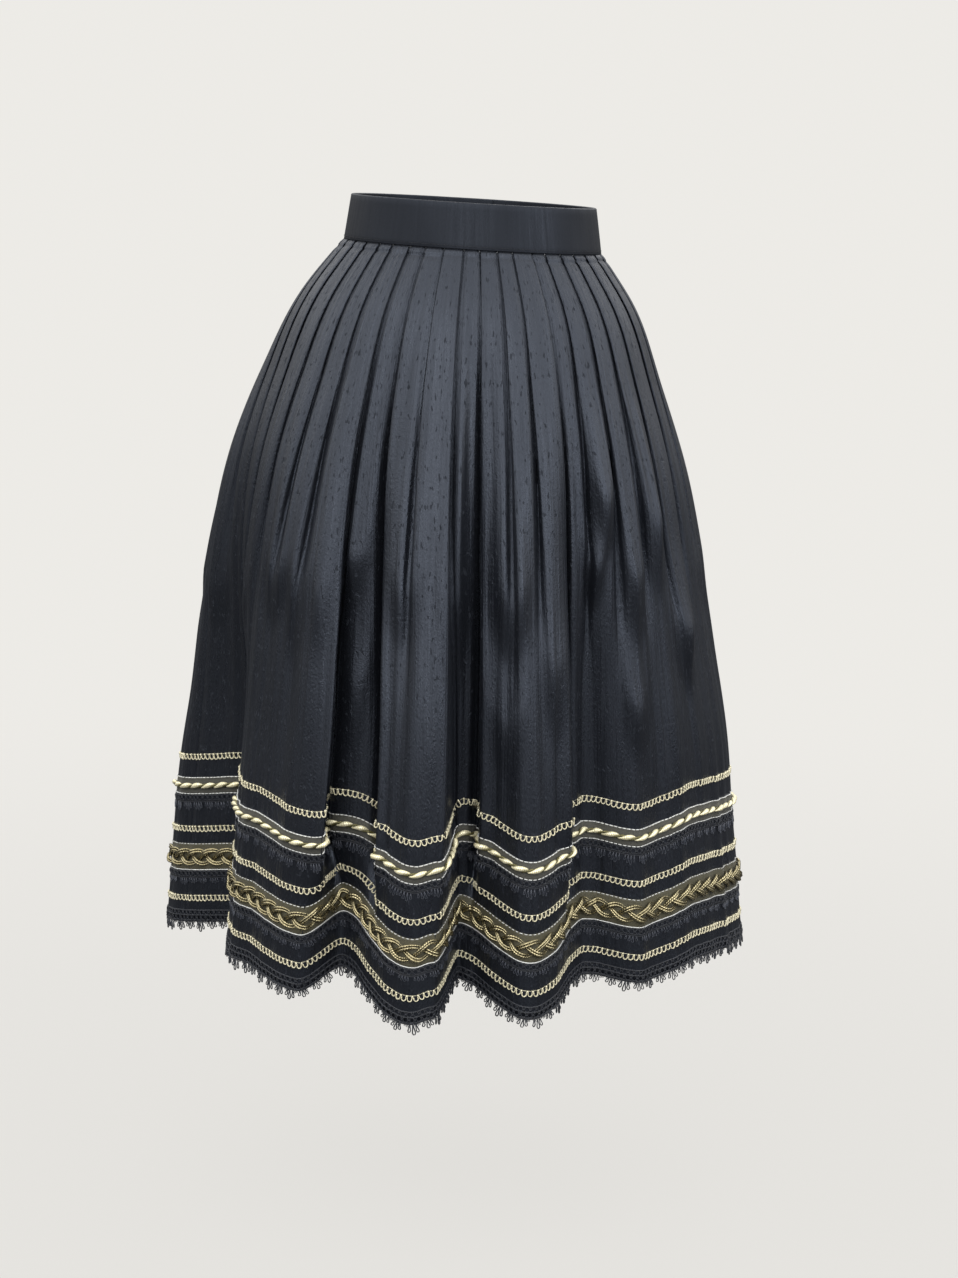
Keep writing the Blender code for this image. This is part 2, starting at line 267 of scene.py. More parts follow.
# Faint fold marks left by storage, straight across the cloth: angle, half width, drop.
Mark = namedtuple("Mark", "angle half drop")
FOLD_MARKS = [Mark(-22, 5, 0.412), Mark(49, 5, 0.414), Mark(12, 3, 0.415), Mark(-62, 7, 0.416)]
FOLD_MARK_MM = 0.45
FOLD_MARK_DROP = 0.0016

# Pleat tops held by a line of stitches a little below the band.
TOP_LINE_DROP = 0.0085
TOP_LINE_MM = 1.6
TOP_LINE_HALF_DROP = 0.004
TOP_TUCKED_MM = 1.1
TOP_PUFF_DROP = 0.005

FINE_ROWS_TO = 0.035
FINE_ROWS = 14
ROWS = 96
RIPPLES = 34
RIPPLE_WAVES = (22, 130)
RIPPLE_PATCHES = (2, 9)
RIPPLE_DRIFT = (-3.0, 3.0)
RIPPLE_SWINGS = (2.0, 7.0)
RIPPLE_SWAY = (0.3, 1.2)
RIPPLE_STEEP_MM = 21.0
SEED = 7

# Rows of trim: millimetres from the row's top down to the skirt's edge, and its height.
TrimPlace = namedtuple("TrimPlace", "above_edge height")
TRIMS = {
    "chain_top": TrimPlace(177.0, 6.4),
    "rope": TrimPlace(152.5, 18.5),
    "black_upper": TrimPlace(133.5, 10.5),
    "chain_middle": TrimPlace(101.5, 6.4),
    "plait": TrimPlace(83.0, 29.0),
    "black_lower": TrimPlace(53.5, 8.5),
    "chain_bottom": TrimPlace(28.5, 6.4),
    "hem": TrimPlace(13.0, 22.0),
}
STEP_ALONG = 0.0013

# The trims in millimetres, but for the counts of cells and threads. A thread is given by its radius.
CORD_STEP = 2.6
RIBBON_STEP = 2.0
RIBBON_THICK = 0.55
# Step along the near-black strip that paints the shade behind the braids' eyelets.
SHADE_BACKING_STEP = 2.2
CHAIN_PITCH = 5.2
CHAIN_THREAD = 0.66
CHAIN_KNOT = 1.0
EYELET_PITCH = 6.2
EYELET_THREAD = 0.6
EYELET_BAR = 0.5
DASH_PITCH = 4.4
DASH_THREAD = 0.62
ROPE_LEAD = 16.0
ROPE_CELLS = 16
ROPE_OFF = 1.6
ROPE_RISE = 1.3
ROPE_STRAND = 2.65
ROPE_MIDDLE = 9.3
ROPE_SNAKES = 0.25
ROPE_SNAKE_LENGTH = 41.0
PLAIT_LEAD = 55.0
PLAIT_HALF = 7.0
PLAIT_RISE = 2.2
PLAIT_LIFT = 2.1
PLAIT_MIDDLE = 14.6
PLAIT_THREADS = 2
PLAIT_THREAD = 1.45
PLAIT_THREADS_APART = 1.7
PLAIT_STEP = 2.4
FRINGE_PITCH = 14.5
FRINGE_DOWN = 7.4
FRINGE_WANDER = 1.2
PICOT_PITCH = 14.5
PICOT_DOWN = 12.6
PICOT_WANDER = 1.5
STITCH_PITCH = 2.6
STITCH_THREAD = 0.2
LOOP_CELLS = 8

# Thread loops that hang from a braid, in millimetres: along and lift say where the two feet lie.
Loop = namedtuple("Loop", "width height lean along lift thread")
FRINGE = [
    Loop(2.3, 5.2, -0.6, -4.6, 0.2, 0.34),
    Loop(2.5, 7.6, -0.2, -1.7, 0.5, 0.36),
    Loop(2.5, 8.8, 0.3, 1.2, 0.3, 0.36),
    Loop(2.3, 6.2, 0.6, 4.2, 0.5, 0.34),
]
PICOTS = [
    Loop(3.2, 7.0, -1.6, -2.8, 0.1, 0.6),
    Loop(3.6, 10.0, 0.2, 0.0, 0.7, 0.64),
    Loop(3.2, 7.8, 1.5, 2.8, 0.2, 0.6),
]

# How much a group of loops varies from its size.
FRINGE_TALL = (0.82, 1.15)
FRINGE_WIDE = (0.9, 1.15)
PICOT_TALL = (0.75, 1.12)
SMALL_PICOT = (0.6, 0.3, 0.6)

# Black braid: its near-black backing strip, which paints the shade seen through its holes, its eyelets as
# along, down and off, and its cords as down and off.
Gimp = namedtuple("Gimp", "top bottom cells eyelets uneven seed cords thread")
BLACK_GIMP = Gimp(
    0.3, 7.0, 4, [(0.0, 2.9, 0.1)], 0.06, 3,
    [(5.6, 0.9), (7.2, 0.7), (0.2, 0.7)], 0.55,
)
HEM_GIMP = Gimp(
    0.8, 12.6, 6, [(0.0, 3.4, 0.2), (2.7, 8.6, 0.3)], 0.08, 21,
    [(1.0, 0.9), (6.1, 1.2), (11.4, 1.1), (12.7, 0.6)], 0.72,
)

# The button from its rim up to its cap, as radius and height in millimetres.
BUTTON_TURNS = 40
BUTTON_HEIGHT = 3.2
BUTTON_PROFILE = [
    (5.6, 0.0), (6.9, 0.25), (7.45, 0.9), (7.5, 1.6), (7.2, 2.25),
    (6.5, 2.7), (5.2, 2.95), (3.5, 3.1), (1.8, 3.18),
]

PLIES_ROUND = 2
RIBS_A_METRE = 1100

# The light of the surroundings by the sine of the height above the horizon.
DOME = [
    (-0.25, 0.035), (1.0, 0.50), (0.0, 0.055), (0.10, 0.18), (0.22, 0.43), (0.42, 0.71), (0.60, 0.71)
]
DOME_STRENGTH = 3.5

# Area lights: name, place, target, size, power and colour.
LIGHTS = [
    ("front soft light", (-0.4, -2.4, 1.9), (0.0, 0.0, -0.3), (1.8, 1.4), 16, (1.0, 0.99, 0.97)),
    ("back soft light", (0.7, 2.4, 2.1), (0.0, 0.0, -0.3), (1.8, 1.4), 14, (1.0, 0.99, 0.97)),
    ("front fill", (-0.1, -3.3, 0.5), (0.0, 0.0, -0.3), (1.0, 0.9), 7, (0.97, 0.98, 1.0)),
    ("right fill", (2.3, -2.0, 0.5), (0.0, 0.0, -0.4), (1.0, 1.4), 11, (0.92, 0.95, 1.0)),
]


def smooth(start, end, value):
    share = np.clip((value - start) / (end - start), 0, 1)
    return share * share * (3 - 2 * share)


def eased(value, places, heights):
    """Goes from height to height, level at each place."""
    at = np.clip(np.searchsorted(places, value, side="right") - 1, 0, len(places) - 2)
    share = smooth(0, 1, (value - places[at]) / (places[at + 1] - places[at]))
    return heights[at] * (1 - share) + heights[at + 1] * share


def curved(value, places, heights):
    """A smooth line through the heights, with the slope at each place from its neighbours."""
    slopes = np.gradient(heights, places)
    at = np.clip(np.searchsorted(places, value, side="right") - 1, 0, len(places) - 2)
    width = places[at + 1] - places[at]
    s = np.clip((value - places[at]) / width, 0, 1)
    return (
        heights[at] * (1 + 2 * s) * (1 - s) ** 2
        + width * slopes[at] * s * (1 - s) ** 2
        + heights[at + 1] * s * s * (3 - 2 * s)
        + width * slopes[at + 1] * s * s * (s - 1)
    )


def fold(column, angle):
    """A fold's measure at an angle, from the table that goes once round."""
    rows = np.array(FOLDS)
    once = [360, 0, 0, 0]
    rows = np.concatenate([rows - once, rows, rows + once])
    return eased(angle, rows[:, 0], rows[:, Fold._fields.index(column)]) * MM


def bell(angle, drop):
    """Point of the plain bell with its outward direction, before folds and pleats."""
    rows = np.array(SECTIONS)
    z = SEAM_Z - SKIRT_DROP * drop
    width, front, back = (curved(-z, -rows[:, 0], rows[:, i]) for i in (1, 2, 3))
    turn = np.radians(angle)
    depth = np.where(np.cos(turn) > 0, front, back)
    out = np.stack([depth * np.sin(turn), -width * np.cos(turn)], -1)
    out = out / np.linalg.norm(out, axis=-1, keepdims=True)
    return width * np.sin(turn), -depth * np.cos(turn), z, out


def moved_aside(angle, drop):
    """How far the bell's sides move along X, in metres."""
    rows = np.array(SIDES)
    right, left = (curved(drop, rows[:, 0], rows[:, i]) for i in (1, 2))
    side = np.sin(np.radians(angle))
    return side ** 2 * np.where(side > 0, right, left) * MM


def skirt_point(angle, drop, relief_mm, fold_angle=None):
    """Point of the cloth, a relief away from the folded bell."""
    x, y, z, out = bell(angle, drop)
    fold_angle = angle if fold_angle is None else fold_angle
    growth = np.array(GROWTH)
    grown = curved(drop, growth[:, 0], growth[:, 1])
    away = grown * fold("out", fold_angle) + relief_mm * MM
    aside = grown * fold("lean", fold_angle)
    fade = eased(drop, np.array([0.0, WAIST_TILT_ENDS_AT]), np.array([1.0, 0.0]))
    x_at = x + out[..., 0] * away - out[..., 1] * aside + moved_aside(angle, drop)
    y_at = y + out[..., 1] * away + out[..., 0] * aside
    z_at = z - grown * drop ** 5 * fold("lower", fold_angle) - WAIST_TILT * x * fade
    return np.stack([x_at, y_at, z_at], -1)


def pleat_lines():
    """The lines all the way round, and for each whether its crisp edge lies on the smaller side."""
    chance = np.random.default_rng(SEED)
    lines = list(FRONT_LINES)
    for number in range(BACK_LINES):
        turn = 90 + (number + 0.5) * 180 / BACK_LINES
        at_waist = turn - PLEAT_SPREAD_DEGREES * math.sin(math.radians(2 * turn))
        lines.append(Line(
            at_waist,
            at_waist + chance.uniform(-1, 1) * BACK_LINE_WANDER_DEGREES,
            chance.uniform(*BACK_LINE_DEEP),
            chance.uniform(*BACK_LINE_GONE),
            BACK_LINE_GOING,
        ))
    faces_on = [any(low < line.at_waist < high for low, high in EDGES_FACE_ON) for line in lines]
    return np.array(lines), faces_on


def pleat_columns(faces_on):
    """For every column: its pleat, which line it belongs to, and its station."""
    count = len(faces_on)
    columns = []
    for pleat in range(count):
        after = (pleat + 1) % count
        left = SOFT_HALF if faces_on[pleat] else CRISP_HALF
        right = CRISP_HALF if faces_on[after] else SOFT_HALF
        for number, station in enumerate(left):
            even = (number + 0.5) / (2 * STATIONS)
            columns.append((pleat, pleat, station.share, even, station.tuck, station.raised))
        for number, station in reversed(list(enumerate(right))):
            even = 1 - (number + 0.5) / (2 * STATIONS)
            columns.append((pleat, pleat + 1, 1 - station.share, even, -station.tuck, station.raised))
    return np.array(columns)


def row_drops():
    fine = np.linspace(0, FINE_ROWS_TO, FINE_ROWS, endpoint=False)
    return np.concatenate([fine, np.linspace(FINE_ROWS_TO, 1, ROWS)])


def ripples(angle, drop):
    """Slight unevenness of hanging silk, the same in every run."""
    chance = np.random.default_rng(SEED + 1)
    total = np.zeros_like(angle)
    turn = np.radians(angle)
    for _ in range(RIPPLES):
        waves = chance.integers(*RIPPLE_WAVES)
        around = chance.integers(*RIPPLE_PATCHES)
        phase, other = chance.uniform(0, 2 * math.pi, 2)
        drift = chance.uniform(*RIPPLE_DRIFT)
        swings = chance.uniform(*RIPPLE_SWINGS)
        sway = chance.uniform(*RIPPLE_SWAY)
        coming = 0.5 + 0.5 * np.sin(turn * around + swings * drop + other)
        wave = np.sin(turn * waves + drift * drop + sway * np.sin(swings * drop + phase) + phase)
        total += coming ** 2 * wave * RIPPLE_STEEP_MM / waves
    return total * smooth(*RIPPLES_COME, drop)


def bulges(angle, drop):
    """Millimetres that the cloth stands out at its bulges and storage marks."""
    total = np.zeros_like(angle)
    for number, bulge in enumerate(BULGES):
        fall = BULGE_FALL[0] + (BULGE_FALL[1] - BULGE_FALL[0]) * (number * GOLDEN_SHARE % 1)
        apart = np.abs((angle - bulge.angle + 180) % 360 - 180) / bulge.half
        ends = bulge.ends - BULGE_POINT * apart
        rising = np.clip((drop - ends + bulge.rise) / bulge.rise, 0, 1) ** 1.7
        falling = 1 - smooth(ends, ends + fall, drop)
        total += BULGE_GAIN * bulge.out * np.exp(-apart ** 2.4) * rising * falling
    for mark in FOLD_MARKS:
        apart = (angle - mark.angle + 180) % 360 - 180
        inside = 1 - smooth(0.8, 1.0, np.abs(apart / mark.half))
        total += FOLD_MARK_MM * inside * np.exp(-((drop - mark.drop) / FOLD_MARK_DROP) ** 2)
    return total


def pleat_relief(lines, columns, drops, faces_on):
    """Angle, relief and the angle whose fold is followed, of every column at every drop."""
    drop = drops[:, None]
    pleat = columns[:, 0].astype(int)
    owner = columns[:, 1].astype(int)
    around = np.concatenate([lines, lines[:1] + [360, 360, 0, 0, 0]])
    deep, gone, going = around[:, 2], around[:, 3], around[:, 4]
    settled = smooth(*LINES_SETTLE, drop)
    line_angle = around[:, 0] * (1 - settled) + around[:, 1] * settled

    # The step at each line, how far the pleat has opened there, and which lines are deep ones.
    swelling = smooth(*STEPS_SWELL, drop)
    left = 1 - smooth(gone - going, gone + 0.02, drop)
    step = (WAIST_STEP_MM * (1 - swelling) + deep * DEEPER * swelling) * left
    opened = smooth(0.12, 1.0, (drop - 0.10) / (gone - 0.05))
    major = smooth(*DEEP_LINE_MM, deep)
    opened = opened * (1 - major * 0.85 * (1 - smooth(gone - 0.06, gone + 0.03, drop)))

    # How far an edge hides its line, as seen from the front, and how far it tucks under.
    fading = smooth(*CREASE_COMES, drop) * (1 - smooth(*CREASE_GOES, drop))
    facing = np.where(np.append(faces_on, faces_on[0]), 1, -1)
    seen = np.clip(-facing * np.sin(np.radians(line_angle)), 0, 1)
    hidden = seen * (step + CREASE_JUMP_MM * fading) * smooth(0.1, 0.5, drop) * left * major
    tuck = TUCK_MM * (1 - smooth(*TUCK_GOES, drop))
    tuck = tuck + CREASE_TUCK_MM * major * smooth(*CREASE_TUCK_COMES, drop) * left
    owner_step, owner_opened, owner_tuck = step[:, owner], opened[:, owner], tuck[:, owner]
    share = columns[:, 2] * (1 - owner_opened) + columns[:, 3] * owner_opened
    from_angle, to_angle = line_angle[:, pleat], line_angle[:, pleat + 1]
    untucked = from_angle * (1 - share) + to_angle * share
    near = skirt_point(untucked, np.broadcast_to(drop, untucked.shape), 0.0 * untucked)
    beside = skirt_point(untucked + NEARBY_DEGREES, np.broadcast_to(drop, untucked.shape), 0.0 * untucked)
    mm_per_degree = np.linalg.norm(beside - near, axis=-1) / NEARBY_DEGREES / MM
    angle = untucked + columns[:, 4] * owner_tuck * (1 - owner_opened) / mm_per_degree
    behind = np.where(columns[:, 2] < 0.5, facing[pleat] > 0, facing[pleat + 1] < 0)
    apart = np.where(columns[:, 2] < 0.5, share, 1 - share)
    tucked = np.clip(np.abs(columns[:, 4]), 0, 1)
    deeper = hidden[:, owner] * (1 - smooth(0.0, 0.55, apart)) * np.where(behind, 1, tucked)
    angle = angle - facing[owner] * deeper / mm_per_degree

    # The pleat's own face, and the fold that it follows beside a deep line.
    face = FACE_SHARE * (step[:, pleat] * (1 - share) + step[:, pleat + 1] * share)
    crown = FACE_CROWN_MM * 4 * share * (1 - share) * smooth(*CROWN_COMES, drop)
    crown = crown * (1 - smooth(*CROWN_GOES, drop)) * columns[:, 5]
    relief = face + crown - owner_step * (1 - columns[:, 5])
    held = np.minimum(CREASE_HOLDS_DEGREES, 0.45 * (to_angle - from_angle)) * fading
    before = held * major[pleat + 1] * smooth(0.45, 0.95, share)
    after = held * major[pleat] * (1 - smooth(0.05, 0.55, share))
    return angle, relief, untucked - before + after


def cloth_grid():
    """Points of the cloth, a row for every drop and a column for every station round the skirt."""
    chance = np.random.default_rng(SEED + 2)
    lines, faces_on = pleat_lines()
    columns = pleat_columns(faces_on)
    drops = row_drops()
    angle, relief, fold_angle = pleat_relief(lines, columns, drops, faces_on)
    drop = np.broadcast_to(drops[:, None], angle.shape)
    relief = relief + ripples(angle, drop) + bulges(angle, drop)
    pleat = columns[:, 0].astype(int)
    line_at = TOP_LINE_DROP * (1 + 0.28 * chance.uniform(-1, 1, len(lines)))[pleat]
    held = (0.5 + 0.5 * chance.uniform(0, 1, len(lines)))[pleat]
    relief = relief - TOP_TUCKED_MM * (1 - smooth(0, TOP_PUFF_DROP, drop))
    below = (drop - line_at) / TOP_LINE_HALF_DROP
    groove = np.where(below < 0, np.exp(-(below * 3) ** 2), np.exp(-below ** 2))
    return skirt_point(angle, drop, relief - TOP_LINE_MM * held * groove, fold_angle)


def directions(points):
    """Outward direction at every point of a grid whose columns go round."""
    across = np.roll(points, -1, axis=1) - np.roll(points, 1, axis=1)
    down = np.gradient(points, axis=0)
    out = np.cross(down, across)
    out /= np.linalg.norm(out, axis=2, keepdims=True) + 1e-12
    tested = points.shape[1] // 3
    if out[-1, tested] @ [*points[-1, tested, :2], 0.0] < 0:
        out = -out
    return out


def new_mesh_object(name, points, faces, materials, corner_uv=None, attributes=None):
    mesh = bpy.data.meshes.new(name)
    mesh.from_pydata(points, [], faces)
    if corner_uv is not None:
        layer = mesh.uv_layers.new(name="UVMap")
        layer.data.foreach_set("uv", np.asarray(corner_uv, np.float32).ravel())
    for key, values in (attributes or {}).items():
        attribute = mesh.attributes.new(key, "FLOAT_VECTOR", "POINT")
        attribute.data.foreach_set("vector", np.asarray(values, np.float32).ravel())
    for material in materials:
        mesh.materials.append(material)
    mesh.shade_smooth()
    obj = bpy.data.objects.new(name, mesh)
    bpy.context.scene.collection.objects.link(obj)
    return obj


def grid_faces(rows, columns, round_rows=False, round_columns=False):
    """Quads of a grid and, for each corner, its own row and column number without wrapping."""
    row, column = np.meshgrid(
        np.arange(rows if round_rows else rows - 1),
        np.arange(columns if round_columns else columns - 1),
        indexing="ij",
    )
    row, column = row.ravel(), column.ravel()
    corner_rows = np.stack([row, row + 1, row + 1, row], 1)
    corner_columns = np.stack([column, column, column + 1, column + 1], 1)
    faces = (corner_rows % rows) * columns + corner_columns % columns
    return faces, corner_rows, corner_columns


def sweep(path, radius, sides, closed):
    """Rings of points round a path, kept from twisting."""
    path = np.asarray(path, float)
    if closed:
        ahead = np.roll(path, -1, axis=0) - np.roll(path, 1, axis=0)
    else:
        ahead = np.gradient(path, axis=0)
    ahead /= np.linalg.norm(ahead, axis=1, keepdims=True)
    side = np.cross(ahead[0], [0.3, 0.5, 0.81])
    sides_of = []
    for direction in ahead:
        side = side - direction * (side @ direction)
        side /= np.linalg.norm(side)
        sides_of.append(side)
    side = np.array(sides_of)
    other = np.cross(ahead, side)
    turn = np.linspace(0, 2 * math.pi, sides, endpoint=False)
    radius = np.broadcast_to(radius, len(path))[:, None, None]
    return path[:, None] + radius * (
        side[:, None] * np.cos(turn)[None, :, None] + other[:, None] * np.sin(turn)[None, :, None]
    )


def small_shape(name, tubes):
    """One mesh made of short tubes, for Geometry Nodes to repeat: path, radius, sides, closed."""
    points, faces, uvs, start = [], [], [], 0
    for path, radius, sides, closed in tubes:
        rings = sweep(path, radius, sides, closed)
        quads, rows, columns = grid_faces(len(rings), sides, closed, True)
        points.append(rings.reshape(-1, 3))
        along = np.concatenate([[0], np.cumsum(np.linalg.norm(np.diff(path, axis=0), axis=1))])
        along = np.append(along, along[-1] * 1.05)
        uvs.append(np.stack([columns / sides, along[rows]], -1).reshape(-1, 2))
        faces += [tuple(face) for face in (quads + start).tolist()]
        if not closed:
            last = start + (len(rings) - 1) * sides
            faces.append(tuple(start + i for i in range(sides)))
            faces.append(tuple(last + i for i in reversed(range(sides))))
            uvs.append(np.zeros((2 * sides, 2)))
        start += len(rings) * sides
    obj = new_mesh_object(name, np.concatenate(points), faces, [], np.concatenate(uvs))
    turn_outwards(obj)
    return obj


def turn_outwards(obj):
    shape = bmesh.new()
    shape.from_mesh(obj.data)
    bmesh.ops.recalc_face_normals(shape, faces=shape.faces)
    shape.to_mesh(obj.data)
    shape.free()


class TrimRow:
    """The surface along one row of trim, to be asked by millimetres along, down and out."""

    def __init__(self, cloth, out, place):
        downs = np.linspace(0, place.height, 2 + int(place.height / 2))
        lengths = np.linalg.norm(np.diff(cloth, axis=0), axis=2)[::-1].cumsum(axis=0)
        lengths = np.concatenate([np.zeros((1, cloth.shape[1])), lengths])[::-1] / MM
        lines = [line_above_edge(cloth, out, lengths, place.above_edge - down) for down in downs]
        points = np.stack([line[0] for line in lines], 1)
        away = np.stack([line[1] for line in lines], 1)
        middle = points[:, len(downs) // 2]
        steps = np.linalg.norm(np.roll(middle, -1, axis=0) - middle, axis=1)
        reach = np.concatenate([[0], np.cumsum(steps)])
        count = int(reach[-1] / STEP_ALONG)
        wanted = np.linspace(0, reach[-1], count, endpoint=False)
        column = np.interp(wanted, reach, np.arange(len(reach)))
        low = column.astype(int)
        share = (column - low)[:, None, None]
        after = (low + 1) % len(middle)
        self.points = points[low % len(middle)] * (1 - share) + points[after] * share
        self.away = away[low % len(middle)] * (1 - share) + away[after] * share
        self.soften()
        self.length = reach[-1] / MM
        self.height = place.height
        self.count = count

    def soften(self):
        """Evens out the directions along the row, so that trims don't crack at sharp folds."""
        for _ in range(2):
            self.away = (np.roll(self.away, 1, 0) + self.away * 2 + np.roll(self.away, -1, 0)) / 4
        self.away /= np.linalg.norm(self.away, axis=2, keepdims=True)

    def at(self, along, down, off):
        """Points at millimetres along the row, down from its top and off the cloth."""
        along, down, off = np.broadcast_arrays(np.asarray(along, float), down, off)
        row = (along / self.length * self.count) % self.count
        low = row.astype(int) % self.count
        share = (row - np.floor(row))[..., None]
        lines = self.points.shape[1]
        across = np.clip(down / self.height * (lines - 1), 0, lines - 1.001)
        left = across.astype(int)
        part = (across - left)[..., None]
        beyond = (down - np.clip(down, 0, self.height))[..., None] * MM

        def mixed(grid):
            after = (low + 1) % self.count
            near = grid[low, left] * (1 - share) + grid[after, left] * share
            far = grid[low, left + 1] * (1 - share) + grid[after, left + 1] * share
            return near * (1 - part) + far * part

        downward = self.points[low, -1] - self.points[low, 0]
        downward /= np.linalg.norm(downward, axis=-1, keepdims=True)
        return mixed(self.points) + mixed(self.away) * (off * MM)[..., None] + downward * beyond

    def frame_at(self, along, down, off):
        """Points with the direction along the row and the direction away from the cloth."""
        here = self.at(along, down, off)
        along = np.asarray(along)
        ahead = self.at(along + 1.0, down, off) - self.at(along - 1.0, down, off)
        away = self.at(along, down, np.asarray(off) + 1.0) - here
        return here, ahead, away


def line_above_edge(cloth, out, lengths, above):
    """One line round the skirt at a distance up from its edge, with outward directions."""
    count = cloth.shape[1]
    each = np.arange(count)
    at_least = max(above, 0.0)
    row = np.clip((lengths > at_least).sum(axis=0) - 1, 0, len(lengths) - 2)
    upper, lower = lengths[row, each], lengths[row + 1, each]
    share = np.clip((upper - at_least) / (upper - lower), 0, 1)[:, None]
    points = cloth[row, each] * (1 - share) + cloth[row + 1, each] * share
    away = out[row, each] * (1 - share) + out[row + 1, each] * share
    if above < 0:
        downward = cloth[-1] - cloth[-3]
        downward = downward / np.linalg.norm(downward, axis=1, keepdims=True)
        points = points - downward * above * MM
    return points, away / np.linalg.norm(away, axis=1, keepdims=True)


# Geometry Nodes


def connect(tree, *wires):
    """Links sockets. A wire is a node, its output, the next node and that node's input."""
    for source, output, target, entry in wires:
        tree.links.new(source.outputs[output], target.inputs[entry])


def new_tree(name, inputs):
    tree = bpy.data.node_groups.new(name, "GeometryNodeTree")
    for label, kind in (("Geometry", "NodeSocketGeometry"), *inputs):
        tree.interface.new_socket(label, in_out="INPUT", socket_type=kind)
    tree.interface.new_socket("Geometry", in_out="OUTPUT", socket_type="NodeSocketGeometry")
    return tree, tree.nodes.new("NodeGroupInput"), tree.nodes.new("NodeGroupOutput")


def attribute_node(tree, name, kind="FLOAT_VECTOR"):
    node = tree.nodes.new("GeometryNodeInputNamedAttribute")
    node.data_type = kind
    node.inputs["Name"].default_value = name
    return node


def make_repeat_tree():
    """Sets a small shape at every point, turned along the row and away from the cloth."""
    tree, given, result = new_tree("repeat along a row", [
        ("Shape", "NodeSocketObject"),
        ("Uneven size", "NodeSocketFloat"),
        ("Seed", "NodeSocketInt"),
        ("Finish", "NodeSocketMaterial"),
    ])
    add = tree.nodes.new
    shape = add("GeometryNodeObjectInfo")
    away_turn = add("FunctionNodeAlignRotationToVector")
    away_turn.axis = "Z"
    along_turn = add("FunctionNodeAlignRotationToVector")
    along_turn.axis = "X"
    along_turn.pivot_axis = "Z"
    low = add("ShaderNodeMath")
    low.operation = "SUBTRACT"
    high = add("ShaderNodeMath")
    low.inputs[0].default_value = high.inputs[0].default_value = 1.0
    uneven = add("FunctionNodeRandomValue")
    scaled = add("ShaderNodeVectorMath")
    scaled.operation = "SCALE"
    copies = add("GeometryNodeInstanceOnPoints")
    whole = add("GeometryNodeRealizeInstances")
    finish = add("GeometryNodeSetMaterial")
    connect(
        tree,
        (given, "Shape", shape, "Object"),
        (given, "Uneven size", low, 1),
        (given, "Uneven size", high, 1),
        (low, 0, uneven, "Min"),
        (high, 0, uneven, "Max"),
        (given, "Seed", uneven, "Seed"),
        (attribute_node(tree, "size"), "Attribute", scaled, 0),
        (uneven, "Value", scaled, "Scale"),
        (attribute_node(tree, "away"), "Attribute", away_turn, "Vector"),
        (attribute_node(tree, "along"), "Attribute", along_turn, "Vector"),
        (away_turn, "Rotation", along_turn, "Rotation"),
        (given, "Geometry", copies, "Points"),
        (shape, "Geometry", copies, "Instance"),
        (along_turn, "Rotation", copies, "Rotation"),
        (scaled, "Vector", copies, "Scale"),
        (copies, "Instances", whole, "Geometry"),
        (whole, "Geometry", finish, "Geometry"),
        (given, "Finish", finish, "Material"),
        (finish, "Geometry", result, "Geometry"),
    )
    return tree


def make_cord_tree():
    """Turns lines of edges into round threads, with a UV map of turn and length."""
    tree, given, result = new_tree("thread along a line", [
        ("Radius", "NodeSocketFloat"),
        ("Sides", "NodeSocketInt"),
        ("Finish", "NodeSocketMaterial"),
    ])
    add = tree.nodes.new
    line = add("GeometryNodeMeshToCurve")
    circle = add("GeometryNodeCurvePrimitiveCircle")
    length = add("GeometryNodeCaptureAttribute")
    turn = add("GeometryNodeCaptureAttribute")
    for capture, field, curve in ((length, "Length", line), (turn, "Factor", circle)):
        capture.capture_items.new("FLOAT", field)
        where = add("GeometryNodeSplineParameter")
        connect(tree, (where, field, capture, field), (curve, "Curve", capture, "Geometry"))
    tube = add("GeometryNodeCurveToMesh")
    tube.inputs["Fill Caps"].default_value = True
    pair = add("ShaderNodeCombineXYZ")
    store = add("GeometryNodeStoreNamedAttribute")
    store.data_type = "FLOAT2"
    store.domain = "CORNER"
    store.inputs["Name"].default_value = "UVMap"
    soft = add("GeometryNodeSetShadeSmooth")
    finish = add("GeometryNodeSetMaterial")
    connect(
        tree,
        (given, "Geometry", line, "Mesh"),
        (given, "Radius", circle, "Radius"),
        (given, "Sides", circle, "Resolution"),
        (length, "Geometry", tube, "Curve"),
        (turn, "Geometry", tube, "Profile Curve"),
        (attribute_node(tree, "thickness", "FLOAT"), "Attribute", tube, "Scale"),
        (turn, "Factor", pair, "X"),
        (length, "Length", pair, "Y"),
        (tube, "Mesh", store, "Geometry"),
        (pair, "Vector", store, "Value"),
        (store, "Geometry", soft, "Geometry"),
        (soft, "Geometry", finish, "Geometry"),
        (given, "Finish", finish, "Material"),
        (finish, "Geometry", result, "Geometry"),
    )
    return tree


def grow_with_nodes(obj, tree, values):
    """Runs a tree on an object with named inputs and keeps the plain mesh that comes out."""
    modifier = obj.modifiers.new("grow", "NODES")
    modifier.node_group = tree
    for item in tree.interface.items_tree:
        if item.item_type == "SOCKET" and item.in_out == "INPUT" and item.name in values:
            modifier[item.identifier] = values[item.name]
    obj.update_tag()
    depsgraph = bpy.context.evaluated_depsgraph_get()
    mesh = bpy.data.meshes.new_from_object(obj.evaluated_get(depsgraph), depsgraph=depsgraph)
    obj.modifiers.remove(modifier)
    old = obj.data
    obj.data = mesh
    bpy.data.meshes.remove(old)
    mesh.name = obj.name
    return obj


def repeat_shape(name, shape, frames, finish, size=None, uneven=0.04, seed=1):
    """Copies of a small shape at points with directions along and away, as one object."""
    points = np.concatenate([item[0] for item in frames])
    along = np.concatenate([item[1] for item in frames])
    away = np.concatenate([item[2] for item in frames])
    size = np.ones_like(points) if size is None else size
    obj = new_mesh_object(name, points, [], [], None, {"along": along, "away": away, "size": size})
    values = {"Shape": shape, "Uneven size": uneven, "Seed": seed, "Finish": finish}
    return grow_with_nodes(obj, REPEAT_TREE, values)


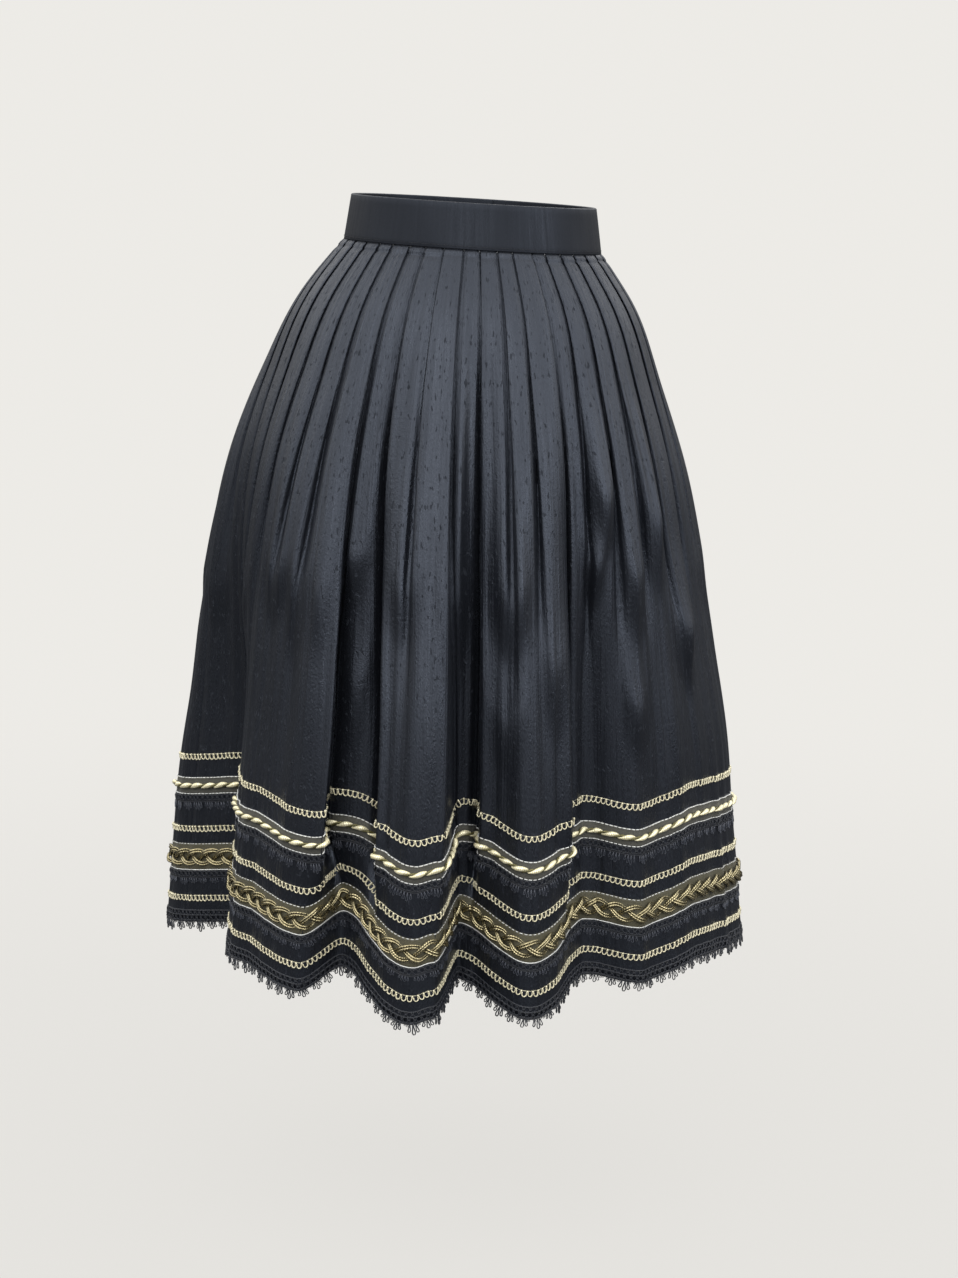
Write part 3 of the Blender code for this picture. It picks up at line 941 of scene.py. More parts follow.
def threads(name, paths, radius_mm, sides, finish, thickness=None):
    """Round threads along closed lines of points, as one object, with a thickness at each point."""
    points = np.concatenate(paths)
    thickness = np.ones(len(points)) if thickness is None else thickness
    edges, start = [], 0
    for path in paths:
        count = len(path)
        edges += [(start + i, start + (i + 1) % count) for i in range(count)]
        start += count
    mesh = bpy.data.meshes.new(name)
    mesh.from_pydata(points, edges, [])
    mesh.attributes.new("thickness", "FLOAT", "POINT").data.foreach_set("value", thickness)
    obj = bpy.data.objects.new(name, mesh)
    bpy.context.scene.collection.objects.link(obj)
    values = {"Radius": radius_mm * MM, "Sides": sides, "Finish": finish}
    return grow_with_nodes(obj, CORD_TREE, values)


# Shader groups and materials


def new_shader_group(name, numbers, outputs):
    """A group that takes a vector and some numbers, and gives numbers."""
    group = bpy.data.node_groups.new(name, "ShaderNodeTree")
    add = group.interface.new_socket
    add("Vector", in_out="INPUT", socket_type="NodeSocketVector")
    for label, value in numbers.items():
        add(label, in_out="INPUT", socket_type="NodeSocketFloat").default_value = value
    for label in outputs:
        add(label, in_out="OUTPUT", socket_type="NodeSocketFloat")
    return group, group.nodes.new("NodeGroupInput"), group.nodes.new("NodeGroupOutput")


def noise_node(group, vector, scales, detail=2.0, roughness=0.5):
    """Noise on a vector stretched by three scales."""
    stretch = group.nodes.new("ShaderNodeVectorMath")
    stretch.operation = "MULTIPLY"
    stretch.inputs[1].default_value = scales
    noise = group.nodes.new("ShaderNodeTexNoise")
    noise.inputs["Scale"].default_value = 1.0
    noise.inputs["Detail"].default_value = detail
    noise.inputs["Roughness"].default_value = roughness
    group.links.new(vector, stretch.inputs[0])
    group.links.new(stretch.outputs["Vector"], noise.inputs["Vector"])
    return noise.outputs["Fac"]


def map_range(group, value, from_low, from_high, to_low=0.0, to_high=1.0, smoothly=False):
    node = group.nodes.new("ShaderNodeMapRange")
    if smoothly:
        node.interpolation_type = "SMOOTHSTEP"
    labels = ("From Min", "From Max", "To Min", "To Max")
    for label, number in zip(labels, (from_low, from_high, to_low, to_high)):
        node.inputs[label].default_value = number
    group.links.new(value, node.inputs["Value"])
    return node.outputs["Result"]


def math_node(group, operation, one, other):
    node = group.nodes.new("ShaderNodeMath")
    node.operation = operation
    for socket, value in zip(node.inputs, (one, other)):
        if isinstance(value, (int, float)):
            socket.default_value = value
        else:
            group.links.new(value, socket)
    return node.outputs[0]


def make_silk_group():
    """Weave of a wild silk: grain, streaks down the cloth and short dark slubs, from a UV in metres."""
    outputs = ("Tone", "Slub", "Height")
    group, given, result = new_shader_group("silk weave", {"Grain": 1.0, "Slubs": 0.4}, outputs)
    vector = given.outputs["Vector"]
    streak = noise_node(group, vector, (330.0, 13.0, 1.0), 3.0, 0.6)
    grain = noise_node(group, vector, (760.0, 260.0, 1.0), 2.0, 0.7)
    long = noise_node(group, vector, (120.0, 5.0, 1.0), 2.0)
    slub_noise = noise_node(group, vector, (410.0, 105.0, 1.0), 1.0, 0.4)
    slub = map_range(group, slub_noise, 0.645, 0.70, smoothly=True)
    slub = math_node(group, "MULTIPLY", slub, given.outputs["Slubs"])
    fine = weighted(group, streak, 0.6, grain, 0.4)
    tone = weighted(group, fine, 0.75, long, 0.25)
    height = math_node(group, "ADD", fine, math_node(group, "MULTIPLY", long, 1.6))
    height = math_node(group, "MULTIPLY", height, given.outputs["Grain"])
    height = math_node(group, "SUBTRACT", height, math_node(group, "MULTIPLY", slub, 0.5))
    for label, value in zip(outputs, (tone, slub, height)):
        group.links.new(value, result.inputs[label])
    return group


def make_twist_group():
    """Twisted thread: slanted plies from a UV of turn and length. Its tone is painted shade between the
    plies and painted light on them, over an uneven random tone.
    """
    outputs = ("Tone", "Height")
    group, given, result = new_shader_group("thread twist", {"Plies a metre": 900.0}, outputs)
    split = group.nodes.new("ShaderNodeSeparateXYZ")
    group.links.new(given.outputs["Vector"], split.inputs[0])
    turn = math_node(group, "MULTIPLY", split.outputs["X"], PLIES_ROUND * 2 * math.pi)
    length = math_node(group, "MULTIPLY", split.outputs["Y"], given.outputs["Plies a metre"])
    wave = math_node(group, "SINE", math_node(group, "ADD", turn, length), 0.0)
    noise = noise_node(group, given.outputs["Vector"], (3.0, 420.0, 1.0), 2.0)
    # The ply wave paints shade between the plies and light on them; the noise is the thread's uneven tone.
    tone = math_node(group, "ADD", math_node(group, "MULTIPLY", wave, 0.3), noise)
    for label, value in zip(outputs, (tone, wave)):
        group.links.new(value, result.inputs[label])
    return group


def weighted(group, one, share, other, other_share):
    """The sum of two values, each times its share."""
    one_part = math_node(group, "MULTIPLY", one, share)
    return math_node(group, "ADD", one_part, math_node(group, "MULTIPLY", other, other_share))


def new_material(name, values):
    """A material whose shader has these values, by the names of its sockets."""
    material = bpy.data.materials.new(name)
    material.use_nodes = True
    shader = material.node_tree.nodes["Principled BSDF"]
    for label, value in values.items():
        shader.inputs[label].default_value = value
    return material, material.node_tree, shader


def uv_of(tree):
    node = tree.nodes.new("ShaderNodeUVMap")
    node.uv_map = "UVMap"
    return node.outputs["UV"]


def group_on_uv(tree, group, values):
    """The outputs of a shader group that reads the piece's UV map."""
    node = tree.nodes.new("ShaderNodeGroup")
    node.node_tree = group
    tree.links.new(uv_of(tree), node.inputs["Vector"])
    for label, value in values.items():
        node.inputs[label].default_value = value
    return node.outputs


def color_between(tree, value, dark, light, low=0.3, high=0.7):
    """A colour ramp from dark to light over part of a value's range."""
    ramp = tree.nodes.new("ShaderNodeValToRGB")
    ramp.color_ramp.elements[0].position = low
    ramp.color_ramp.elements[0].color = (*dark, 1)
    ramp.color_ramp.elements[1].position = high
    ramp.color_ramp.elements[1].color = (*light, 1)
    tree.links.new(value, ramp.inputs["Fac"])
    return ramp.outputs["Color"]


def mixed_color(tree, share, color, other):
    """One colour turning into a plain other one."""
    mix = tree.nodes.new("ShaderNodeMix")
    mix.data_type = "RGBA"
    tree.links.new(share, mix.inputs[0])
    tree.links.new(color, mix.inputs[6])
    mix.inputs[7].default_value = (*other, 1)
    return mix.outputs[2]


def bump(tree, shader, height, strength, distance):
    node = tree.nodes.new("ShaderNodeBump")
    node.inputs["Strength"].default_value = strength
    node.inputs["Distance"].default_value = distance
    tree.links.new(height, node.inputs["Height"])
    tree.links.new(node.outputs["Normal"], shader.inputs["Normal"])


def silk_material(name, dark, light, slub_color, roughness, grain, strength, specular, slubs):
    """Silk whose gloss goes up and down with the tone of its threads, and whose slubs are dull."""
    material, tree, shader = new_material(name, {
        "Roughness": roughness,
        "Sheen Weight": 0.02,
        "Sheen Tint": (0.6, 0.68, 0.85, 1),
        "Specular IOR Level": specular,
        "Specular Tint": (0.72, 0.81, 1.0, 1),
    })
    weave = group_on_uv(tree, SILK_GROUP, {"Grain": grain, "Slubs": slubs})
    cloth = color_between(tree, weave["Tone"], dark, light, 0.36, 0.64)
    tree.links.new(mixed_color(tree, weave["Slub"], cloth, slub_color), shader.inputs["Base Color"])
    dull = map_range(tree, weave["Tone"], 0.35, 0.65, roughness + 0.15, roughness - 0.14)
    tree.links.new(math_node(tree, "ADD", dull, weave["Slub"]), shader.inputs["Roughness"])
    bump(tree, shader, weave["Height"], strength, 0.0010)
    return material


def thread_material(name, dark, light, roughness, metallic, plies, strength=0.35):
    """Twisted thread with a number of plies a metre, with painted shade between them and painted light on
    them.
    """
    material, tree, shader = new_material(name, {"Roughness": roughness, "Metallic": metallic})
    twist = group_on_uv(tree, TWIST_GROUP, {"Plies a metre": plies})
    # The ramp's dark colour is painted shade between the plies, and its light colour is painted light on
    # them.
    color = color_between(tree, twist["Tone"], dark, light, 0.2, 0.8)
    tree.links.new(color, shader.inputs["Base Color"])
    bump(tree, shader, twist["Height"], strength, 0.0002)
    return material


def ribbon_material(name, dark, light, roughness, metallic):
    """Ribbed ribbon: fine ribs across its width, with painted shade between the ribs and a slight random
    change of tone.
    """
    material, tree, shader = new_material(
        name, {"Roughness": roughness, "Metallic": metallic, "Sheen Weight": 0.1}
    )
    uv = uv_of(tree)
    split = tree.nodes.new("ShaderNodeSeparateXYZ")
    tree.links.new(uv, split.inputs[0])
    turn = math_node(tree, "MULTIPLY", split.outputs["X"], 2 * math.pi * RIBS_A_METRE)
    # The rib wave in the colour is painted shade between the ribs; the noise is the ribbon's random tone.
    ribs = math_node(tree, "MULTIPLY", math_node(tree, "SINE", turn, 0.0), 0.12)
    tone = math_node(tree, "ADD", ribs, noise_node(tree, uv, (900.0, 1400.0, 1.0), 2.0, 0.6))
    tree.links.new(color_between(tree, tone, dark, light), shader.inputs["Base Color"])
    bump(tree, shader, tone, 0.5, 0.0003)
    return material


def make_materials():
    thread, ribbed = thread_material, ribbon_material
    return {
        "silk": silk_material(
            "black silk", (0.0018, 0.0020, 0.0027), (0.0078, 0.0086, 0.0112), (0.0010, 0.0010, 0.0013),
            roughness=0.33, grain=1.0, strength=1.0, specular=0.50, slubs=0.4
        ),
        "band": silk_material(
            "band silk", (0.0028, 0.0030, 0.0037), (0.0052, 0.0056, 0.0070), (0.003, 0.003, 0.004),
            roughness=0.40, grain=0.45, strength=0.35, specular=0.32, slubs=0.0
        ),
        # In the twisted threads below, the light colour is painted light on the plies and the dark colour
        # is painted shade between them.
        "gold": thread("gold thread", (0.50, 0.44, 0.27), (0.97, 0.92, 0.70), 0.36, 0.25, 5200.0),
        "rope": thread("cream gold rope", (0.62, 0.55, 0.31), (1.0, 0.94, 0.69), 0.28, 0.3, 3600.0),
        # Dark olive colour of the rope's second strand: painted shade between and below the cream grains.
        "strand": thread("olive strand", (0.05, 0.045, 0.015), (0.20, 0.18, 0.07), 0.34, 0.4, 3600.0),
        "pale": thread("pale metal thread", (0.50, 0.50, 0.47), (0.92, 0.93, 0.92), 0.35, 0.3, 5200.0),
        "plait": thread(
            "old gold plait", (0.050, 0.042, 0.018), (0.56, 0.485, 0.29), 0.18, 0.9, 2600.0, strength=0.2
        ),
        "grey": ribbed("grey ribbon", (0.016, 0.016, 0.014), (0.095, 0.092, 0.075), 0.5, 0.1),
        "olive": ribbed("olive ribbon", (0.018, 0.016, 0.008), (0.110, 0.100, 0.058), 0.45, 0.15),
        # Near-black matte strip behind the black braids: painted shade seen through their holes.
        "shade_backing": ribbed("black ground", (0.0012, 0.0012, 0.0015), (0.003, 0.003, 0.004), 0.9, 0.0),
        # The black gimp's bluish light colour is a painted highlight on its plies.
        "gimp": thread(
            "black gimp", (0.003, 0.0035, 0.0045), (0.033, 0.037, 0.049), 0.30, 0.0, 4200.0, strength=0.6
        ),
        # Black thread loops coloured grey-blue: the colour is painted sheen on black thread.
        "loops": thread(
            "grey black loops", (0.022, 0.025, 0.034), (0.080, 0.088, 0.112), 0.34, 0.0, 4200.0
        ),
        "sewing": thread(
            "black sewing thread", (0.006, 0.006, 0.008), (0.018, 0.019, 0.024), 0.5, 0.0, 5200.0
        ),
    }


# Pieces


def cloth_uv(points):
    """Metres along the hem and down each column, which is how the cloth was cut."""
    hem = np.linalg.norm(np.roll(points[-1], -1, axis=0) - points[-1], axis=1)
    across = np.concatenate([[0], np.cumsum(hem)])
    down = np.concatenate([
        np.zeros((1, points.shape[1])),
        np.linalg.norm(np.diff(points, axis=0), axis=2).cumsum(axis=0),
    ])
    return across, np.concatenate([down, down[:, :1]], axis=1)


def make_cloth(points):
    """Front and back cloths, which meet at the two side seams."""
    across, down = cloth_uv(points)
    count = points.shape[1]
    sides = [len(FRONT_LINES) - 1, len(FRONT_LINES) + BACK_LINES - 1]
    seams = [side * 2 * STATIONS + STATIONS for side in sides]
    made = []
    for name, first, last in (
        ("front_cloth", seams[1] - count, seams[0]),
        ("back_cloth", seams[0], seams[1]),
    ):
        picked = np.arange(first, last + 1)
        grid = points[:, picked % count]
        faces, rows, cols = grid_faces(len(grid), len(picked))
        u = across[picked % count] + np.where(picked < 0, -across[-1], 0.0)
        v = down[:, picked % count]
        uv = np.stack([u[cols], v[rows, cols]], -1)[:, ::-1]
        obj = new_mesh_object(name, grid.reshape(-1, 3), faces[:, ::-1].tolist(), [FINISH["silk"]], uv)
        wall = obj.modifiers.new("wall", "SOLIDIFY")
        wall.thickness = CLOTH_WALL
        wall.offset = -1
        made.append(obj)
    return made


def places_along(row, step):
    """Places all along a row, a step apart or slightly more."""
    return np.linspace(0, row.length, int(row.length / step), endpoint=False)


def ribbon(name, row, top, bottom, thick, finish, step, across_cells, crown=0.0):
    """A flat strip sewn along a row, with its edges turned down to the cloth."""
    along = places_along(row, step)
    across = np.linspace(0, 1, across_cells)
    downs = np.concatenate([[top], top + (bottom - top) * across, [bottom]])
    offs = np.concatenate([[0.05], thick + crown * np.sin(across * math.pi), [0.05]])
    grid = row.at(along[:, None], downs[None], offs[None])
    faces, rows, cols = grid_faces(len(along), len(downs), round_rows=True)
    u = np.append(along, row.length) * MM
    uv = np.stack([u[rows], downs[cols] * MM], -1)
    return new_mesh_object(name, grid.reshape(-1, 3), faces.tolist(), [finish], uv)


def spaced(row, pitch):
    """Even places all along a row, as near the pitch as fits whole."""
    count = int(round(row.length / pitch))
    return np.arange(count) * row.length / count


def hanging_loop(loop):
    """Tube of a loop that hangs from two feet set close together."""
    turn = np.linspace(0, 1, LOOP_CELLS)
    drop = loop.height * np.sin(turn * math.pi) ** 0.9
    x = -np.sin(turn * 2 * math.pi) * loop.width / 2 * (0.35 + 0.65 * np.sin(turn * math.pi))
    x = x + loop.lean * drop / loop.height
    path = np.stack([x, -drop, 0.0 * turn], -1) * MM
    return path + np.array([loop.along, 0, loop.lift]) * MM, loop.thread * MM, 4, False


def make_small_shapes():
    """The few shapes that the braids repeat. X goes along the row, Y up and Z off the cloth."""
    turn = np.linspace(-0.12 * math.pi, 1.12 * math.pi, LOOP_CELLS)
    cup = np.stack([2.25 * np.cos(turn), -2.7 - 2.9 * np.sin(turn), 0.75 + 0 * turn], -1) * MM
    knot = np.array([(2.6, 0.1, 0.6), (2.6, -0.5, 1.15), (2.6, -1.3, 1.15), (2.6, -2.0, 0.7)]) * MM
    dash = np.array([(-1.8, 0, 0.45), (-1.0, 0, 0.8), (1.0, 0, 0.8), (1.8, 0, 0.45)]) * MM
    stitch = np.array([(-0.95, 0, 0.0), (-0.6, 0, 0.22), (0.6, 0, 0.22), (0.95, 0, 0.0)]) * MM
    bar = np.array([(0.0, 2.0, 0.5), (0.35, 0.8, 1.1), (0.35, -0.8, 1.1), (0.0, -2.0, 0.5)]) * MM
    bar = bar + np.array([3.0, 0, 0]) * MM
    turn = np.linspace(0, 2 * math.pi, LOOP_CELLS, endpoint=False)
    ring = np.stack([2.45 * np.cos(turn), 2.4 * np.sin(turn), 0.8 + 0 * turn], -1) * MM
    tubes = {
        "chain": [(cup, CHAIN_THREAD * MM, 4, False), (knot, CHAIN_KNOT * MM, 5, False)],
        "dash": [(dash, DASH_THREAD * MM, 4, False)],
        "stitch": [(stitch, STITCH_THREAD * MM, 4, False)],
        "eyelet": [(ring, EYELET_THREAD * MM, 4, True), (bar, EYELET_BAR * MM, 4, False)],
        "fringe": [hanging_loop(loop) for loop in FRINGE],
        "picot": [hanging_loop(loop) for loop in PICOTS],
    }
    return {name: small_shape(f"{name}_shape", parts) for name, parts in tubes.items()}


def make_chain(label, row, node):
    """Gold chain gimp: loops that hang from a thin rail, each with a knot beside it."""
    frames = [row.frame_at(spaced(row, CHAIN_PITCH), 0.7, 0.15)]
    loops = repeat_shape(
        f"{label}_loops", SHAPES["chain"], frames, FINISH["gold"], uneven=0.07, seed=len(label)
    )
    path = row.at(places_along(row, CORD_STEP), 0.9, 0.35)
    rail = threads(f"{label}_rail", [path], 0.35, 4, FINISH["gold"])
    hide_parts(node)
    return [loops, rail]


def make_rope_ribbon(row):
    """Grey ribbon with dashes along its edges and a rope of two strands along its middle."""
    grey = FINISH["grey"]
    base = ribbon("rope_ribbon_cloth", row, 0.3, 18.2, RIBBON_THICK, grey, RIBBON_STEP, 9, 0.25)
    dashes = [row.frame_at(spaced(row, DASH_PITCH), down, 0.45) for down in (0.9, 17.7)]
    edges = repeat_shape("rope_ribbon_dashes", SHAPES["dash"], dashes, FINISH["pale"], uneven=0.08, seed=5)
    turns = round(row.length / ROPE_LEAD)
    turn = np.linspace(0, turns * 2 * math.pi, turns * ROPE_CELLS, endpoint=False)

    def strand(start, high, stretch):
        """One strand that shows as a slanted grain on each turn, thin at its left end."""
        along = turn / turns / 2 / math.pi * row.length + stretch * np.sin(turn - 0.2 + start)
        middle = ROPE_MIDDLE + ROPE_SNAKES * np.sin(along / ROPE_SNAKE_LENGTH)
        down = middle - ROPE_OFF * np.sin(turn + start)
        return row.at(along, down, high + ROPE_RISE * np.cos(turn + start))

    apart = (turn - 0.45 + math.pi) % (2 * math.pi) - math.pi
    grain = 0.3 + 0.7 * np.exp(-apart ** 2)
    path = strand(0.0, 2.5, 3.0)
    rope = threads("rope_ribbon_rope", [path], ROPE_STRAND, 8, FINISH["rope"], thickness=grain)
    # The rope's second strand is real, but its dark olive colour is painted shade between and below the
    # cream grains.
    shade_strand = threads("rope_ribbon_core", [strand(math.pi, 1.9, 1.0)], 1.0, 6, FINISH["strand"])
    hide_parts("rope_ribbon")
    return [base, edges, rope, shade_strand]


def make_plait_ribbon(row):
    """Olive ribbon with a line of dashes, a piped edge and a plait of three strands."""
    olive = FINISH["olive"]
    base = ribbon("plait_ribbon_cloth", row, 0.3, 28.6, RIBBON_THICK, olive, RIBBON_STEP, 13, 0.35)
    places = spaced(row, DASH_PITCH)
    edge = repeat_shape(
        "plait_ribbon_dashes", SHAPES["dash"], [row.frame_at(places, 1.0, 0.4)],
        FINISH["pale"], np.full((len(places), 3), 0.7), 0.1, 9,
    )
    along = places_along(row, PLAIT_STEP)
    piping = threads("plait_ribbon_piping", [row.at(along, 28.2, 0.8)], 0.6, 5, FINISH["pale"])
    turns = round(row.length / PLAIT_LEAD)
    phase = along / row.length * turns * 2 * math.pi
    strands, thickness = [], []
    for strand in range(3):
        turn = phase + strand * 2 * math.pi / 3
        slope = np.cos(turn)
        for thread in range(PLAIT_THREADS):
            beside = (thread - (PLAIT_THREADS - 1) / 2) * PLAIT_THREAD * PLAIT_THREADS_APART
            strands.append(row.at(
                along - beside * 0.55 * slope,
                PLAIT_MIDDLE - (PLAIT_HALF * np.sin(turn) + beside * (1 - 0.25 * slope ** 2)),
                PLAIT_LIFT + PLAIT_RISE * np.sin(2 * turn) + 0.25 * math.cos(thread),
            ))
            thickness.append(0.82 + 0.22 * np.sin(2 * turn))
    thickness = np.concatenate(thickness)
    plait = threads("plait_ribbon_plait", strands, PLAIT_THREAD, 6, FINISH["plait"], thickness=thickness)
    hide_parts("plait_ribbon")
    return [base, edge, piping, plait]


def make_gimp(label, row, gimp):
    """The flat part of a black braid: rows of eyelets and cords on a near-black strip that paints the
    shade seen through their holes.
    """
    # A near-black matte strip behind the eyelets and cords: painted shade in the braid's holes.
    shade_backing = ribbon(
        f"{label}_ground", row, gimp.top, gimp.bottom, 0.3, FINISH["shade_backing"], SHADE_BACKING_STEP, gimp.cells
    )
    places = spaced(row, EYELET_PITCH)
    frames = [row.frame_at(places + along, down, off) for along, down, off in gimp.eyelets]
    eyelets = repeat_shape(
        f"{label}_eyelets", SHAPES["eyelet"], frames, FINISH["gimp"], uneven=gimp.uneven, seed=gimp.seed
    )
    along = places_along(row, CORD_STEP)
    paths = [row.at(along, down, off) for down, off in gimp.cords]
    cords = threads(f"{label}_cords", paths, gimp.thread, 4, FINISH["gimp"])
    return eyelets, cords, shade_backing


def make_black_braid(label, row, node, tall):
    """Narrow gimp with uneven thread loops that hang from its lower edge."""
    eyelets, cords, shade_backing = make_gimp(label, row, BLACK_GIMP)
    places = spaced(row, FRINGE_PITCH)
    count = len(places)
    chance = np.random.default_rng(SEED + len(label))
    places = places + chance.uniform(-FRINGE_WANDER, FRINGE_WANDER, count)
    size = np.ones((count, 3))
    size[:, 1] = tall * chance.uniform(*FRINGE_TALL, count)
    size[:, 0] = chance.uniform(*FRINGE_WIDE, count)
    frames = [row.frame_at(places, FRINGE_DOWN, 0.4)]
    fringe = repeat_shape(f"{label}_fringe", SHAPES["fringe"], frames, FINISH["loops"], size, 0.03, 11)
    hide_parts(node)
    return [eyelets, cords, fringe, shade_backing]


def make_hem_braid(row):
    """Wider gimp with large and small picots that reach past the hem."""
    eyelets, cords, shade_backing = make_gimp("hem", row, HEM_GIMP)
    chance = np.random.default_rng(SEED + 9)
    places = spaced(row, PICOT_PITCH)
    count = len(places)
    places = places + chance.uniform(-PICOT_WANDER, PICOT_WANDER, count)
    size = np.ones((count, 3))
    size[:, 1] = chance.uniform(*PICOT_TALL, count)
    small_places = spaced(row, PICOT_PITCH / 1.6)
    small_size = np.tile(SMALL_PICOT, (len(small_places), 1))
    big = row.frame_at(places, PICOT_DOWN, 0.3)
    small = row.frame_at(small_places + 2.0, PICOT_DOWN - 0.2, 0.2)
    sizes = np.concatenate([size, small_size])
    picots = repeat_shape("hem_picots", SHAPES["picot"], [big, small], FINISH["gimp"], sizes, 0.05, 13)
    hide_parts("hem_braid")
    return [eyelets, cords, picots, shade_backing]


def band_point(angle, z, inset):
    """Point of the band's outer face at an angle in radians, moved in by the inset."""
    up = (z - SEAM_Z) / BAND_HEIGHT
    seam = SECTIONS[0]
    width = seam.half_width + (BAND_TOP_HALF_WIDTH - seam.half_width) * up
    depth_at_seam = seam.front if math.cos(angle) > 0 else seam.back
    depth = depth_at_seam + (BAND_TOP_HALF_DEPTH - depth_at_seam) * up
    out = np.array([depth * math.sin(angle), -width * math.cos(angle)])
    out /= np.linalg.norm(out)
    x = width * math.sin(angle) - inset * out[0]
    y = -depth * math.cos(angle) - inset * out[1]
    return np.array([x, y, z - WAIST_TILT * x])


def band_outline():
    """Section of the band as height and depth: outer face, top edge, inner face, lower edge."""
    top, low, half = BAND_HEIGHT / 2, SEAM_Z, BAND_WALL / 2
    edge = [math.radians(step) for step in (22, 60, 90, 120, 158)]
    outline = [(top - half - (BAND_HEIGHT - BAND_WALL) * share, 0.0) for share in np.linspace(0, 1, 9)]
    outline += [(low + half * (1 - math.sin(a)), half * (1 - math.cos(a))) for a in edge]
    outline += [(low + half + (BAND_HEIGHT - BAND_WALL) * share, BAND_WALL) for share in (0, 0.5, 1)]
    outline += [(top - half * (1 - math.sin(a)), half * (1 + math.cos(a))) for a in edge]
    return outline


def lap_inset(degrees):
    """How far the band's face lies in: the under end of the lap has the upper end's wall over it."""
    into = smooth(0, 1, (degrees + BAND_REACH - LAP_DEGREES) / LAP_BLEND_DEGREES)
    return float((BAND_WALL + SEAM_GAP) * (1 - into))


def make_waistband():
    """The band from the under end of its lap right round to the upper end, closed at both ends."""
    outline = band_outline()
    chance = np.random.default_rng(SEED + 4)
    phases = chance.uniform(0, 2 * math.pi, 6)
    sections = []
    for degrees in np.linspace(-BAND_REACH, BAND_REACH, BAND_COLUMNS):
        inset = lap_inset(degrees)
        turn = math.radians(degrees)
        waver = sum(math.sin(turn * (7 + 5 * n) + phase) / (n + 1) for n, phase in enumerate(phases))
        pressed = PRESS_MARK_MM * MM * math.exp(-((degrees - PRESS_MARK_AT) / 0.8) ** 2)
        ring = []
        for z, depth in outline:
            up = (z - SEAM_Z) / BAND_HEIGHT
            bend = waver * BAND_WAVER_MM * MM * math.sin(math.pi * up)
            ring.append(band_point(turn, z, inset + depth + bend + pressed * smooth(0.35, 0.6, up)))
        sections.append(ring)
    grid = np.array(sections)
    size = len(outline)
    faces, rows, cols = grid_faces(len(grid), size, round_columns=True)
    along = np.concatenate([[0], np.cumsum(np.linalg.norm(np.diff(grid[:, 4], axis=0), axis=1))])
    around = np.linalg.norm(np.diff(grid[0], axis=0, append=grid[0][:1]), axis=1)
    around = np.concatenate([[0], np.cumsum(around)])
    uv = np.stack([along[rows], around[cols]], -1).reshape(-1, 2)
    last = (len(grid) - 1) * size
    ends = [list(range(size)), [last + i for i in reversed(range(size))]]
    end_uv = np.array(outline)
    uv = np.concatenate([uv, end_uv, end_uv[::-1]])
    points = grid.reshape(-1, 3)
    band = new_mesh_object("waistband_cloth", points, faces.tolist() + ends, [FINISH["band"]], uv)
    turn_outwards(band)
    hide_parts("waistband")
    return [band, make_band_stitches()]


def make_band_stitches():
    """A line of stitches just above the band's lower edge, and one down the lap's end."""
    places, ahead, away = [], [], []

    def add(degrees, z, upright=False):
        inset = lap_inset(degrees) - 0.00005
        turn = math.radians(degrees)
        here = band_point(turn, z, inset)
        along = band_point(turn + 0.01, z, inset) - here
        up = band_point(turn, z + 0.001, inset) - here
        places.append(here)
        ahead.append(up if upright else along)
        away.append(np.cross(along, up))

    around = 2 * math.pi * math.sqrt((SECTIONS[0].half_width ** 2 + SECTIONS[0].front ** 2) / 2)
    pitch = STITCH_PITCH * MM / around * 360
    for degrees in np.arange(-BAND_REACH + LAP_DEGREES + 1, BAND_REACH - 1, pitch):
        add(degrees, SEAM_Z + 0.0035)
    for z in np.arange(SEAM_Z + 0.004, BAND_HEIGHT / 2 - 0.003, STITCH_PITCH * MM):
        add(BAND_REACH - 1.2, z, True)
    frames = [(np.array(places), np.array(ahead), np.array(away))]
    return repeat_shape(
        "waistband_stitches", SHAPES["stitch"], frames, FINISH["sewing"], uneven=0.05, seed=2
    )


def make_button():
    """A covered button: a domed cap of cloth over a rim, set just off the band."""
    turn = np.linspace(0, 2 * math.pi, BUTTON_TURNS, endpoint=False)
    rings = []
    for radius, height in BUTTON_PROFILE:
        pucker = 1 + 0.006 * np.sin(turn * 12) * (height < 1.8)
        flat = [radius * pucker * np.cos(turn), radius * pucker * np.sin(turn)]
        rings.append(np.stack([*flat, np.full(BUTTON_TURNS, height)], -1))
    points = np.concatenate([*rings, [(0, 0, 0), (0, 0, BUTTON_HEIGHT)]]) * MM
    faces = grid_faces(len(rings), BUTTON_TURNS, round_columns=True)[0].tolist()
    under, cap = len(points) - 2, len(points) - 1
    last = (len(rings) - 1) * BUTTON_TURNS
    for i in range(BUTTON_TURNS):
        after = (i + 1) % BUTTON_TURNS
        faces.append([under, after, i])
        faces.append([cap, last + i, last + after])
    uv = np.concatenate([points[face][:, :2] for face in faces])
    x, y, z = band_point(math.pi, 0.0, 0.0)
    lean = math.atan2(SECTIONS[0].back - BAND_TOP_HALF_DEPTH, BAND_HEIGHT)
    place = Matrix.Translation((x, y + SEAM_GAP * math.cos(lean), z + SEAM_GAP * math.sin(lean)))
    button = new_mesh_object("back_button_cover", points, faces, [FINISH["band"]], uv)
    button.data.transform(place @ Matrix.Rotation(-math.pi / 2 + lean, 4, "X"))
    turn_outwards(button)
    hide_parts("back_button")
    return [button]


# Camera, lights and floor


def make_camera():
    camera = bpy.data.objects.new("camera", bpy.data.cameras.new("camera"))
    bpy.context.scene.collection.objects.link(camera)
    camera.data.sensor_width = SENSOR_MM
    camera.data.lens = FOCAL_PIXELS / PICTURE_HEIGHT * SENSOR_MM
    camera.matrix_world = (
        Matrix.Translation(CAMERA_AT)
        @ Matrix.Rotation(math.radians(90 - CAMERA_DOWN_DEGREES), 4, "X")
        @ Matrix.Rotation(math.radians(CAMERA_ROLL_DEGREES), 4, "Z")
    )
    bpy.context.scene.camera = camera


